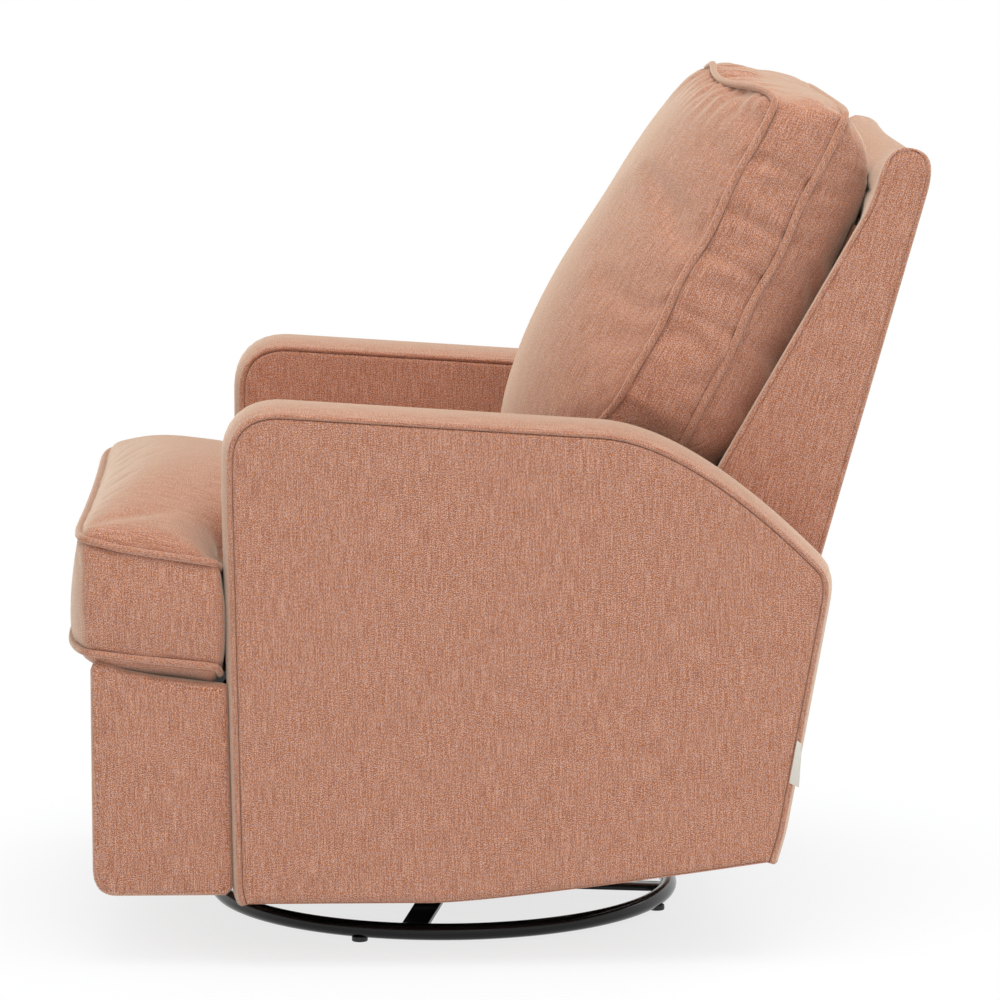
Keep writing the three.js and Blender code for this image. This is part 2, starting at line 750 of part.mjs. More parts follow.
function makeFootrest() {
  const half = footrestHalfWidth;
  const body = sideForm(footrestOutline(), -half, half, footrestEdgeRound);
  const boardY = footrestFrontY + footrestFrontWall;
  const rearY = footrestRearY + overrun;
  const hollowShape = polygon([
    [boardY, footrestFloorZ],
    [rearY, footrestFloorZ],
    [rearY, footrestTopRearZ - footrestTopWall],
    [boardY, footrestTopFrontZ - footrestTopWall],
  ]);
  const inside = half - footrestCheek;
  const hollow = sideForm(hollowShape, -inside, inside);
  const topZ = footrestTopFrontZ + overrun;
  const mouthY = footrestRearY - footrestTopNotch;
  const mouth = block(-inside, inside, mouthY, rearY, footrestFloorZ + overrun, topZ);
  const slotY = footrestPivotY - linkWidth / 2 - overrun;
  const slotFrom = footrestBracketX - overrun;
  const slotTo = outerLinkX + linkThickness + overrun;
  const slotLeft = block(slotFrom, slotTo, slotY, rearY, footrestFloorZ + overrun, topZ);
  const slotRight = block(-slotTo, -slotFrom, slotY, rearY, footrestFloorZ + overrun, topZ);
  addPiece("footrest_cover", cut(body, hollow, mouth, slotLeft, slotRight), upholstery);
  const boardBack = boardY + contactGap + footrestBoardThickness;
  const boardTop = footrestTopFrontZ - footrestTopWall - overrun;
  const boardEnd = inside - contactGap;
  const board = block(
    -boardEnd,
    boardEnd,
    boardY + contactGap,
    boardBack,
    footrestFloorZ + contactGap,
    boardTop,
  );
  addPiece("footrest_board", board, plywood);
  const x0 = footrestBracketX;
  const x1 = x0 + linkThickness;
  const footY = boardBack + contactGap;
  const low = footrestPivotZ - footrestBracketLength;
  const web = sideForm(
    polygon([
      [footY, low],
      [footY + linkThickness, low],
      [footrestPivotY + linkWidth / 2, footrestPivotZ - linkWidth / 2],
      [footrestPivotY + linkWidth / 2, footrestPivotZ + linkWidth / 2 - overrun],
      [footY, footrestPivotZ + linkWidth / 2 - overrun],
    ]),
    x0,
    x1,
  );
  const flange = block(
    x1 - footrestBracketWidth,
    x1,
    footY,
    footY + linkThickness,
    low,
    footrestPivotZ,
  );
  const bracket = cut(
    join(web, flange),
    pinAlongX(footrestPivotY, footrestPivotZ, linkPinRadius + pinGap, x0 - overrun, x1 + overrun),
  );
  addPair("footrest_bracket", bracket, zincSteel);
}

// Arms: padded covers over plywood panels

function armOutline() {
  const below = armBottomZ - armCrown - overrun;
  const slope = (armHeelEndY - armRearY) / (armHeelEndZ - armRearZ);
  const shape = new THREE.Shape();
  shape.moveTo(armFrontY, below);
  shape.lineTo(armRearY - (armRearZ - below) * slope, below);
  shape.lineTo(armHeelEndY, armHeelEndZ);
  shape.quadraticCurveTo(armHeelY, armHeelZ, armHeelTopY, armHeelTopZ);
  shape.quadraticCurveTo(armCrestY, armCrestZ, armShoulderY, armShoulderZ);
  shape.lineTo(armFrontY + armFrontRadius, armTopZ);
  shape.quadraticCurveTo(armFrontY, armTopZ, armFrontY, armTopZ - armFrontRadius);
  return shape;
}

// The arm's outline with its small corners left sharp, for the panel inside
function armCorners() {
  const below = armBottomZ - armCrown - overrun;
  const slope = (armHeelEndY - armRearY) / (armHeelEndZ - armRearZ);
  const crest = new THREE.QuadraticBezierCurve(
    new THREE.Vector2(armHeelTopY, armHeelTopZ),
    new THREE.Vector2(armCrestY, armCrestZ),
    new THREE.Vector2(armShoulderY, armShoulderZ),
  );
  return [
    new THREE.Vector2(armFrontY, below),
    new THREE.Vector2(armRearY - (armRearZ - below) * slope, below),
    new THREE.Vector2(armHeelY, armHeelZ),
    ...crest.getPoints(cornerSteps).slice(1),
    new THREE.Vector2(armFrontY, armTopZ),
  ];
}

function aboveArmBottom(x0, x1, lift) {
  const margin = armCrown + overrun;
  const shape = new THREE.Shape();
  shape.moveTo(armFrontY - margin, armBottomZ + lift);
  shape.lineTo(armFlatEndY, armBottomZ + lift);
  shape.quadraticCurveTo(armSweepY, armBottomZ + lift, armRearY, armRearZ + lift);
  shape.lineTo(armHeelY + margin, armRearZ + margin + lift);
  shape.lineTo(armHeelY + margin, armTopZ + margin);
  shape.lineTo(armFrontY - margin, armTopZ + margin);
  return sideForm(shape, x0 - overrun, x1 + overrun);
}

function makeArms() {
  const x0 = armInnerX;
  const x1 = overallWidth / 2;
  const crowned = new THREE.ExtrudeGeometry(armOutline(), {
    depth: armThickness - 2 * armCrownRun,
    curveSegments: cornerSteps,
    bevelThickness: armCrownRun,
    bevelSize: armCrown,
    bevelSegments: crownSteps,
  });
  crowned.translate(0, 0, x0 + armCrownRun).applyMatrix4(sideToWorld);
  const coreAt = (inset, halfThickness) => {
    const middle = (x0 + x1) / 2;
    const outline = new THREE.Shape(insetOutline(armCorners(), inset));
    return sideForm(outline, middle - halfThickness, middle + halfThickness);
  };
  const half = armPanelThickness / 2;
  const slot = coreAt(armPadding - contactGap, half + contactGap);
  const mouth = slot.clone().translate(0, 0, -armPadding);
  const cover = cutAbove(crowned, aboveArmBottom(x0, x1, 0));
  addPair("arm_cover", cut(cover, slot, mouth), upholstery);
  const panel = cutAbove(coreAt(armPadding, half), aboveArmBottom(x0, x1, armPanelRecess));
  addPair("arm_panel", panel, plywood);
}

function makeTag() {
  const x0 = overallWidth / 2 + contactGap;
  const share = (tagBottomZ + tagLength / 2 - armRearZ) / (armHeelEndZ - armRearZ);
  const seamY = THREE.MathUtils.lerp(armRearY, armHeelEndY, share);
  const rearY = seamY + tagOverhang;
  const tag = block(x0, x0 + tagThickness, rearY - tagWidth, rearY, tagBottomZ, tagBottomZ + tagLength);
  addPiece("label_tag", tag, tagCloth);
}

// Seat cushion

function makeSeatCushion() {
  const middleY = (cushionFrontY + cushionRearY) / 2;
  const halfLength = (cushionRearY - cushionFrontY) / 2;
  const earEnd = cushionEarRows - 1;
  const yAt = (v) => {
    const row = Math.round(((v + 1) / 2) * cushionRows);
    if (row <= earEnd) {
      return THREE.MathUtils.lerp(cushionFrontY, cushionNotchY - cushionNotchStep, row / earEnd);
    }
    const share = (row - cushionEarRows) / (cushionRows - cushionEarRows);
    return THREE.MathUtils.lerp(cushionNotchY, cushionRearY, share);
  };
  const cushion = softBody(cushionColumns, cushionRows, boxingRows, (p) => {
    const { x: u, y: v, z: w } = p;
    const y = yAt(v);
    const along = (y - middleY) / halfLength;
    const inEar = y < cushionNotchY;
    const halfWidth = inEar ? cushionEarHalfWidth : cushionHalfWidth;
    const edgeTop = inEar
      ? THREE.MathUtils.mapLinear(y, cushionFrontY, cushionNotchY, cushionEdgeTopFrontZ, cushionEdgeTopNotchZ)
      : THREE.MathUtils.mapLinear(y, cushionNotchY, cushionRearY, cushionEdgeTopNotchZ, cushionEdgeTopRearZ);
    const edgeBottom = THREE.MathUtils.mapLinear(
      y,
      cushionFrontY,
      cushionRearY,
      cushionEdgeBottomFrontZ,
      cushionEdgeBottomRearZ,
    );
    const ridge = THREE.MathUtils.mapLinear(
      y,
      cushionFrontY,
      cushionRearY,
      cushionRidgeFrontZ,
      cushionRidgeRearZ,
    );
    const endFade = flatness(along, cushionAlongPower);
    const fullness = flatness(u, cushionCrossPower) * endFade;
    const top = edgeTop + (ridge - edgeTop) * fullness;
    const bottom = edgeBottom - cushionBelly * flatness(u, cushionBellyPower) * endFade;
    const belt = cushionBoxingBulge * (1 - w * w);
    const cornerPull = cushionCornerRadius * Math.abs(u) ** cushionCornerPower;
    p.x = u * halfWidth;
    p.y = y;
    if (v === -1) p.y += cornerPull - belt;
    if (v === 1) p.y -= cornerPull;
    if (Math.abs(u) === 1 && inEar && v !== -1) p.x += u * belt * earBulgeShare;
    p.z = THREE.MathUtils.mapLinear(w, -1, 1, bottom, top);
  });
  addPiece("seat_cushion", cushion, upholstery);
}

// Back: shell, posts, rail, webbing, hinge brackets and cushion

function backOutline() {
  return [
    [backBottomRearY, backBottomZ],
    [backTopRearY, backRearTopZ],
    [backTopRearY, backTopZ - backTopRadius],
    [backTopRearY - backTopRadius, backTopZ],
    [backTopFrontY, backTopZ],
    [backBandFrontY, backBandFrontZ],
    [backWedgeY, backWedgeZ],
    [backLowFrontY, backLowFrontZ],
    [backKneeY, backKneeZ],
    [backBottomFrontY, backBottomZ],
  ];
}

function backRearAt(z) {
  return THREE.MathUtils.mapLinear(z, backBottomZ, backRearTopZ, backBottomRearY, backTopRearY);
}

function makeBackShell() {
  const body = sideForm(polygon(backOutline()), -backHalfWidth, backHalfWidth, backRoundness);
  const inside = backHalfWidth - backCheek;
  const roof = backTopZ - backTopWall;
  const below = backBottomZ - overrun;
  const hollow = polygon([
    [backRearAt(below) - backRearWall, below],
    [backTopRearY - backRearWall, backRearTopZ],
    [backTopRearY - backRearWall, roof],
    [backLowFrontY - overrun, roof],
    [backLowFrontY - overrun, below],
  ]);
  addPiece("back_shell", cut(body, sideForm(hollow, -inside, inside)), upholstery);
}

function makeBackFrame() {
  const roof = backTopZ - backTopWall - contactGap;
  const rearAt = (z) => backRearAt(z) - backRearWall - contactGap;
  const postShape = polygon([
    [rearAt(backPostFootZ), backPostFootZ],
    [rearAt(backRearTopZ), backRearTopZ],
    [rearAt(backRearTopZ), roof],
    [backTopFrontY - backPostInset, roof],
    [backBandFrontY + backPostInset, backBandFrontZ],
    [backWedgeY + backPostInset, backWedgeZ],
    [backLowFrontY + backPostInset, backLowFrontZ],
    [backKneeY + backPostInset, backKneeZ],
    [backKneeY + 2 * backPostInset, backPostFootZ],
  ]);
  addPair("back_post", sideForm(postShape, backPostX - backPostThickness, backPostX), plywood);
  const railLow = roof - backTopRailHeight;
  const rail = polygon([
    [rearAt(railLow) - backTopRailThickness, railLow],
    [rearAt(railLow), railLow],
    [rearAt(backRearTopZ), backRearTopZ],
    [rearAt(backRearTopZ), roof],
    [rearAt(backRearTopZ) - backTopRailThickness, roof],
  ]);
  addPiece("back_top_rail", sideForm(rail, -backRailEnd, backRailEnd), plywood);
  const x0 = backRailEnd - backBracketThickness;
  const pivot = new THREE.Vector2(backPivotY, backPivotZ);
  const foot = new THREE.Vector2(backKneeY + backLugRadius + backPostInset, backPivotZ);
  const head = new THREE.Vector2(backKneeY + backPostInset, backLowFrontZ);
  const bracket = join(
    barBetween(pivot, foot, 2 * backLugRadius, x0, backRailEnd),
    barBetween(foot, head, 2 * backLugRadius, x0, backRailEnd),
    pinAlongX(pivot.x, pivot.y, backPivotPinRadius, x0, sidePlateX + sidePlateThickness),
  );
  addPair("back_bracket", bracket, zincSteel);
}

// Place in the side view from the back cushion's own up and forward distances
function leanPoint(up, out) {
  const start = new THREE.Vector2(backCushionY, backCushionZ);
  return start.addScaledVector(leanUp, up).addScaledVector(leanOut, out);
}

// A point on the back cushion in the side view: u across, height from 0 to 1, w from rear to front
function backCushionPlace(u, height, w) {
  const boxing = THREE.MathUtils.lerp(backCushionBoxing, backCushionTopBoxing, height);
  const across = flatness(u, backCushionCrossPower);
  const front = backCushionCrown * alongShares(frontCrownShares, height) * across;
  const rearAcross = flatness(u, backCushionRearCrossPower);
  const rear = backCushionRearCrown * rearAcross * flatness(2 * height - 1, backCushionRearAlongPower);
  const out = THREE.MathUtils.mapLinear(w, -1, 1, -boxing / 2 - rear, boxing / 2 + front);
  const hang = backCushionDroop * across * (1 - height) ** backCushionDroopPower;
  const frontShare = THREE.MathUtils.lerp(rearDroopShare, 1, (w + 1) / 2);
  const slant = backCushionTopSlant * (w / 2) * height;
  return leanPoint(height * backCushionLength - hang * frontShare - slant, out);
}

// Each strap lies along the cushion's rear face, clear of its bow
function makeWebbing() {
  const halfShare = webbingWidth / 2 / backCushionLength;
  webbingPlaceShares.forEach((share, i) => {
    const low = backCushionPlace(0, share - halfShare, -1);
    const high = backCushionPlace(0, share + halfShare, -1);
    const along = high.clone().sub(low).normalize();
    const away = new THREE.Vector2(along.y, -along.x);
    const bow = Math.max(0, backCushionPlace(0, share, -1).sub(low).dot(away));
    const near = [low, high].map((point) => point.clone().addScaledVector(away, bow + contactGap));
    const far = near.map((point) => point.clone().addScaledVector(away, webbingThickness));
    const strap = sideForm(new THREE.Shape([far[0], far[1], near[1], near[0]]), -backRailEnd, backRailEnd);
    addPiece(`back_webbing_${i + 1}`, strap, webbingCloth);
  });
}

function makeBackCushion() {
  const cushion = softBody(cushionColumns, backCushionRows, boxingRows, (p) => {
    const { x: u, y: v, z: w } = p;
    const place = backCushionPlace(u, (v + 1) / 2, w);
    const belt = Math.abs(u) === 1 ? backCushionSideBulge * (1 - w * w) : 0;
    p.set(u * (backCushionHalfWidth + belt), place.x, place.y);
  });
  addPiece("back_cushion", cushion, upholstery);
}

// Rear apron and release pull

function makeApron() {
  const slope = (armHeelEndY - armRearY) / (armHeelEndZ - armRearZ);
  const outerAt = (z) => armRearY + (z - armRearZ) * slope - apronInset;
  const shape = polygon([
    [outerAt(apronBottomZ), apronBottomZ],
    [outerAt(apronTopZ), apronTopZ],
    [outerAt(apronTopZ) - apronThickness, apronTopZ],
    [outerAt(apronBottomZ) - apronThickness, apronBottomZ],
  ]);
  const halfSpan = armInnerX - contactGap;
  addPiece("rear_apron", sideForm(shape, -halfSpan, halfSpan), upholsteryShade);
}

function roundedRectangle(y0, y1, z0, z1, radius) {
  const shape = new THREE.Shape();
  shape.moveTo(y0 + radius, z0);
  shape.lineTo(y1 - radius, z0);
  shape.quadraticCurveTo(y1, z0, y1, z0 + radius);
  shape.lineTo(y1, z1 - radius);
  shape.quadraticCurveTo(y1, z1, y1 - radius, z1);
  shape.lineTo(y0 + radius, z1);
  shape.quadraticCurveTo(y0, z1, y0, z1 - radius);
  shape.lineTo(y0, z0 + radius);
  shape.quadraticCurveTo(y0, z0, y0 + radius, z0);
  return shape;
}

function makeReleasePull() {
  const x0 = railOuterX - pullGroove + contactGap;
  const x1 = x0 + pullThickness;
  const handle = roundedRectangle(
    pullY - pullHandleWidth / 2,
    pullY + pullHandleWidth / 2,
    pullHandleBottomZ,
    pullHandleTopZ,
    pullCornerRadius,
  );
  const finger = roundedRectangle(
    pullY - pullFingerWidth / 2,
    pullY + pullFingerWidth / 2,
    pullFingerBottomZ,
    pullFingerBottomZ + pullFingerHeight,
    pullCornerRadius,
  );
  handle.holes.push(finger);
  const tongue = block(
    x0,
    x1,
    pullY - pullTongueWidth / 2,
    pullY + pullTongueWidth / 2,
    pullTongueBottomZ,
    pullHandleBottomZ + pullCornerRadius,
  );
  const pull = join(sideForm(handle, x0, x1), tongue);
  addPiece("release_pull", pull, blackPlastic, -1);
}

makeBase();
makeSwivel();
makeGlider();
makeSteelFrame();
makeSidePlates();
makeWoodFrame();
makeSprings();
makeScissor();
makeFootrest();
makeArms();
makeTag();
makeSeatCushion();
makeBackShell();
makeBackFrame();
makeWebbing();
makeBackCushion();
makeApron();
makeReleasePull();

// The model's origin is under the middle of its length, on the floor
const model = new THREE.Group();
const frontReachY = cushionFrontY - cushionBoxingBulge;
recliner.position.y = -(frontReachY + backTopRearY) / 2;
model.add(recliner);

export default model;
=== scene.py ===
# %% [markdown]
# # A swivel glider recliner
#
# The chair is a padded armchair on a round steel base. Its frame, links and
# joints are already built as solids, and this notebook gives them their looks:
# the cushions, the stretched cloth of the arms and the back, the piping along
# the seams, the enamel of the base, the light and the camera. Everything is in
# metres, in the frame's own axes: up is +Z, the front of the seat looks
# towards -Y, and the sitter's left arm is at +X.

# %% Load the fixed frame
import json
import math

import bmesh
import bpy
import numpy as np
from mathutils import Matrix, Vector, kdtree, noise


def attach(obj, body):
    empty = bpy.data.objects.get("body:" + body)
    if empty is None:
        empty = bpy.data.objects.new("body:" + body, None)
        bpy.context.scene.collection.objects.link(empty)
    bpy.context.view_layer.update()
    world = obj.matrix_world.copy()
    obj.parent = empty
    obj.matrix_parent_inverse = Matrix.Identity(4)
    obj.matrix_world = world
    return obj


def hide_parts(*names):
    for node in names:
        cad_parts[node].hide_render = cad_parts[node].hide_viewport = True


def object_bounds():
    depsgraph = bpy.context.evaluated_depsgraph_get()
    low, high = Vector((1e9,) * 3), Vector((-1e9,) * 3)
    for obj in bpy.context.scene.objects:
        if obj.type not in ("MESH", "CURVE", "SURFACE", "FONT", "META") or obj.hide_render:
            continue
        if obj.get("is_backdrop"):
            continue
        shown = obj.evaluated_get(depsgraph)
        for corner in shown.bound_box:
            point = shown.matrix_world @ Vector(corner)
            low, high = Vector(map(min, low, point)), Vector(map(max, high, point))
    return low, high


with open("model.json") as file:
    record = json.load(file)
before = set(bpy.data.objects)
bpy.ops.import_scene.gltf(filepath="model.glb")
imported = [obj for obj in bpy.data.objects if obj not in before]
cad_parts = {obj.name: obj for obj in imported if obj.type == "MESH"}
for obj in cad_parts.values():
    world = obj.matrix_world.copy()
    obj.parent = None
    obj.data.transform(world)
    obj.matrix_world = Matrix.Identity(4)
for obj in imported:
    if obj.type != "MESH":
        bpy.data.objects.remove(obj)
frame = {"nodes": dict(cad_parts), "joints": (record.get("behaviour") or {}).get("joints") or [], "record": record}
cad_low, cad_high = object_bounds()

print("nodes:", len(frame["nodes"]), "box:", tuple(round(c, 3) for c in cad_high - cad_low))

# %% [markdown]
# The chair was measured from its swivel axis and the floor, in millimetres.
# One function brings such a point into the frame, and the swivel joint itself
# says where that axis stands. A few small helpers serve every step after it.

# %% From chair millimetres to the frame
MM = 0.001
SWIVEL = np.array([0, next(j for j in frame["joints"] if j["name"] == "swivel")["pos_m"][1], 0])


def placed(points):
    """Points in millimetres from the swivel axis, as metres in the frame."""
    return np.asarray(points, float) * MM + SWIVEL


def smooth(value, start=0.0, end=1.0):
    """0 before start, 1 after end and an even climb between them."""
    share = np.clip((np.asarray(value, float) - start) / (end - start), 0, 1)
    return share * share * (3 - 2 * share)


def bell(value, width):
    """1 where the value is 0, fading to nothing over about twice the width."""
    return np.exp(-(value / width) ** 2)


def dome(value, power):
    """1 in the middle and 0 at -1 and 1. A higher power makes it flatter."""
    return 1 - abs(value) ** power


def mirrored(*places):
    """Places on one side of the middle, and the same on the other side before them."""
    return [-place for place in places[::-1]] + list(places)


def unit(vectors):
    """The same directions, each one long."""
    return vectors / np.linalg.norm(vectors, axis=1)[:, None]


def select_only(*pieces):
    """Deselects everything, then selects these pieces, the first of them active."""
    bpy.ops.object.select_all(action="DESELECT")
    for piece in pieces:
        piece.select_set(True)
    bpy.context.view_layer.objects.active = pieces[0]


def set_all(thing, settings):
    """Sets several attributes of a thing."""
    for name, value in settings.items():
        setattr(thing, name, value)


def modify(piece, kind, **settings):
    """Applies one modifier to a piece."""
    modifier = piece.modifiers.new(kind, kind)
    set_all(modifier, settings)
    select_only(piece)
    bpy.ops.object.modifier_apply(modifier=modifier.name)


print("swivel axis at y =", SWIVEL[1])

# %% [markdown]
# The photograph was taken from the sitter's left with a long lens, a little
# above the arm. A camera is a point, a direction and a lens length, and those
# three were solved from the outlines of the arm, the back and the base ring.

# %% Camera
CAMERA_AT = (5.70996, -0.16668, 1.29774)
CAMERA_AZIMUTH = math.radians(88.2535)
CAMERA_ELEVATION = math.radians(8.2939)
LENS_MM, SENSOR_MM = 178.83, 36
FARTHEST_SEEN = 60


def aim(thing, direction):
    """Turns a camera or a lamp, which look along their own -Z."""
    thing.rotation_euler = direction.to_track_quat("-Z", "Y").to_euler()


bpy.ops.object.camera_add(location=CAMERA_AT)
camera = bpy.context.object
camera.name = "camera"
camera.data.lens = LENS_MM
camera.data.sensor_width = SENSOR_MM
camera.data.clip_end = FARTHEST_SEEN
backwards = Vector((
    math.sin(CAMERA_AZIMUTH) * math.cos(CAMERA_ELEVATION),
    -math.cos(CAMERA_AZIMUTH) * math.cos(CAMERA_ELEVATION),
    math.sin(CAMERA_ELEVATION),
))
aim(camera, -backwards)
bpy.context.scene.camera = camera
bpy.context.scene.view_settings.view_transform = "Standard"
print("camera looks along", tuple(round(c, 3) for c in -backwards))

# %% [markdown]
# A material here is a small graph of nodes. One function turns the hex colour
# that a painter would name into the linear numbers that light works with. One
# sets a node's inputs, and one adds a node with its settings and its inputs.

# %% Colours and nodes


def linear(code):
    """An sRGB hex colour as linear red, green, blue and alpha."""
    channels = [int(code[i:i + 2], 16) / 255 for i in (1, 3, 5)]
    light = [c / 12.92 if c <= 0.04045 else ((c + 0.055) / 1.055) ** 2.4 for c in channels]
    return (*light, 1.0)


def feed(target, **inputs):
    """Sets a node's inputs. Base_Color is "Base Color", and i0 is the first input."""
    for name, value in inputs.items():
        numbered = name[0] == "i" and name[1:].isdigit()
        socket = target.inputs[int(name[1:]) if numbered else name.replace("_", " ")]
        if isinstance(value, bpy.types.NodeSocket):
            target.id_data.links.new(value, socket)
        else:
            socket.default_value = value


def node(tree, kind, settings=None, **inputs):
    """Adds a node with its settings and its inputs."""
    made = tree.nodes.new("ShaderNode" + kind)
    set_all(made, settings or {})
    feed(made, **inputs)
    return made


def new_material(name):
    """A plain material, its tree and its surface shader."""
    material = bpy.data.materials.new(name)
    material.use_nodes = True
    return material, material.node_tree, material.node_tree.nodes["Principled BSDF"]


def ramp(tree, value, stops):
    """A colour ramp from (place, hex colour) stops."""
    made = node(tree, "ValToRGB", Fac=value)
    while len(made.color_ramp.elements) < len(stops):
        made.color_ramp.elements.new(0.5)
    for element, (place, colour) in zip(made.color_ramp.elements, stops):
        element.position = place
        element.color = linear(colour)
    return made.outputs["Color"]


def own_place(tree):
    """Each point's place in its piece, in metres."""
    return node(tree, "TexCoord").outputs["Object"]


def seen_by(tree, *rays):
    """1 for these kinds of ray, and 0 for the rest."""
    path = node(tree, "LightPath")
    seen, *others = (path.outputs[f"Is {ray} Ray"] for ray in rays)
    for other in others:
        seen = node(tree, "Math", {"operation": "MAXIMUM"}, i0=seen, i1=other).outputs[0]
    return seen


print("mid grey is", round(linear("#808080")[0], 3), "in linear light")

# %% [markdown]
# The stage is a white floor under a white sky. Seen by the camera the sky is
# plain white, and to the chair it is a soft, even light. A large lamp above
# the chair gives the tops their brighter side, a weaker one near the camera
# keeps the side panels from going flat, and one behind lights the rear edges.
# The floor keeps the shadow near the chair and fades to white away from it.

# %% Floor, sky and lamps
SKY_STRENGTH = 0.67
LAMPS = {
    "key_lamp": {"at": (1.3, 0.2, 3.9), "size": 3.0, "watts": 72},
    "side_lamp": {"at": (4.2, 0.6, 2.8), "size": 3.0, "watts": 14.5},
    "rear_lamp": {"at": (-1.5, 2.4, 2.8), "size": 2.4, "watts": 20},
}
LAMPS_AIM = Vector((0, 0, 0.45))
FLOOR_SIZE, FLOOR_WHITE = 40, "#f4f9ff"
FLOOR_FADE = (0.3, 0.95)
FLOOR_LEAST_WHITE = 0.76
WHITE = linear("#ffffff")

world = bpy.data.worlds.new("studio")
world.use_nodes = True
bpy.context.scene.world = world
sky = world.node_tree
sky_light = sky.nodes["Background"]
feed(sky_light, Color=WHITE, Strength=SKY_STRENGTH)
plain = node(sky, "Background", Color=WHITE, Strength=1.0)
mixed = node(sky, "MixShader", i0=seen_by(sky, "Camera", "Glossy", "Transmission"),
             i1=sky_light.outputs[0], i2=plain.outputs[0])
feed(sky.nodes["World Output"], Surface=mixed.outputs[0])

bpy.ops.mesh.primitive_plane_add(size=FLOOR_SIZE)
floor = bpy.context.object
floor.name = "floor"
floor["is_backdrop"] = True
floor_paint, tree, shader = new_material("white_studio_floor")
feed(shader, Base_Color=linear(FLOOR_WHITE), Roughness=0.9, Specular_IOR_Level=0.1)
distance = node(tree, "VectorMath", {"operation": "LENGTH"}, i0=own_place(tree))
away = node(tree, "MapRange", {"interpolation_type": "SMOOTHERSTEP"},
            Value=distance.outputs["Value"], From_Min=FLOOR_FADE[0], From_Max=FLOOR_FADE[1],
            To_Min=FLOOR_LEAST_WHITE)
far = node(tree, "Math", {"operation": "MULTIPLY"},
           i0=seen_by(tree, "Camera", "Glossy"), i1=away.outputs[0])
white = node(tree, "Emission", Color=WHITE, Strength=1.0)
faded = node(tree, "MixShader", i0=far.outputs[0], i1=shader.outputs[0], i2=white.outputs[0])
feed(tree.nodes["Material Output"], Surface=faded.outputs[0])
floor.data.materials.append(floor_paint)

for name, lamp in LAMPS.items():
    bpy.ops.object.light_add(type="AREA", location=lamp["at"])
    light = bpy.context.object
    light.name = name
    light.data.shape = "DISK"
    light.data.size = lamp["size"]
    light.data.energy = lamp["watts"]
    aim(light, LAMPS_AIM - Vector(lamp["at"]))
print("lamps:", {name: lamp["watts"] for name, lamp in LAMPS.items()})

# %% [markdown]
# The cover is a heathered plain weave. Warp and weft yarns of uneven thickness
# cross each other, and each is spun from orange-brown and pinkish-grey fibres,
# so that the cloth is a fine grain with faint threads up and across it. Four
# noises stand for the warp, the weft, the fibres and the change of hue. They
# follow each panel's own UV map, laid out in metres as a cutter would lay the
# panel flat. Loose fibres catch the light at a low angle, which is sheen.

# %% Woven cover
YARNS_MM = {"warp": (1.1, 26.0), "weft": (14.0, 1.1), "fibre": (0.9, 1.1), "heather": (1.4, 4.0)}
YARN_CONTRAST = {"warp": 0.75, "weft": 0.25, "fibre": 2.3}
ORANGE_YARN = [(0.0, "#8f4d2c"), (0.5, "#b97550"), (1.0, "#dda482")]
PINK_YARN = [(0.0, "#8d5949"), (0.5, "#b38575"), (1.0, "#d7b1a3")]
NOISES_APART = 3.1

woven, tree, shader = new_material("heathered_woven_upholstery")
cloth_map = node(tree, "UVMap", {"uv_map": "cloth"}).outputs[0]
noise_of = {}
for k, (yarn, (width_mm, length_mm)) in enumerate(YARNS_MM.items()):
    scaled = node(tree, "Mapping", Vector=cloth_map, Scale=(1000 / width_mm, 1000 / length_mm, 1),
                  Location=(NOISES_APART * k, NOISES_APART * k, 0))
    noise_of[yarn] = node(tree, "TexNoise", Vector=scaled.outputs[0],
                          Scale=1.0, Detail=0.0, Distortion=0.5).outputs["Fac"]
shade = 0.5 - sum(YARN_CONTRAST.values()) / 2
for yarn, strength in YARN_CONTRAST.items():
    shade = node(tree, "Math", {"operation": "MULTIPLY_ADD"},
                 i0=noise_of[yarn], i1=strength, i2=shade).outputs[0]
hue = node(tree, "MapRange", Value=noise_of["heather"], From_Min=0.3, From_Max=0.7)
spun = node(tree, "Mix", {"data_type": "RGBA"}, Factor=hue.outputs[0],
            A=ramp(tree, shade, ORANGE_YARN), B=ramp(tree, shade, PINK_YARN))
bump = node(tree, "Bump", Height=noise_of["fibre"], Strength=0.4, Distance=0.0005)
feed(shader, Base_Color=spun.outputs["Result"], Normal=bump.outputs[0], Roughness=1.0,
     Specular_IOR_Level=0.08, Sheen_Weight=0.85, Sheen_Roughness=0.5, Sheen_Tint=linear("#fff0d8"))
PAINTS = {"upholstery": woven}
print("yarns:", YARNS_MM)

# %% [markdown]
# Upholstery is cut as flat panels and sewn together. Each panel is a grid of
# points here, and one function sews the grids of a piece into one mesh: it
# merges the edges that meet, turns the faces outwards, and lays each panel's
# UV map flat by measuring along its own rows and columns. Piping is a cord in
# a strip cut on the bias, so its threads run round it at a slant.

# %% Sewing panels into a piece
WELD, THINNEST = 2e-5, 1e-6


def dress(piece, body, stands_for=None, slot="upholstery"):
    """Gives a piece its material and the body that it rides on, and hides the solid that it stands for."""
    piece.data.materials.append(PAINTS[slot])
    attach(piece, body)
    if stands_for:
        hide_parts(stands_for)
    print(piece.name, "has", len(piece.data.vertices), "points and rides on", body)


def turned(uv, angle):
    """A flat map turned on the cloth, so that the threads lean."""
    turn = np.array([[math.cos(angle), -math.sin(angle)], [math.sin(angle), math.cos(angle)]])
    return uv @ turn.T


def add_face(bm, verts, uvs):
    """A smooth face, with its place on the flat cloth."""
    face = bm.faces.new(verts)
    face.smooth = True
    for loop, uv in zip(face.loops, uvs):
        loop[bm.loops.layers.uv["cloth"]].uv = uv


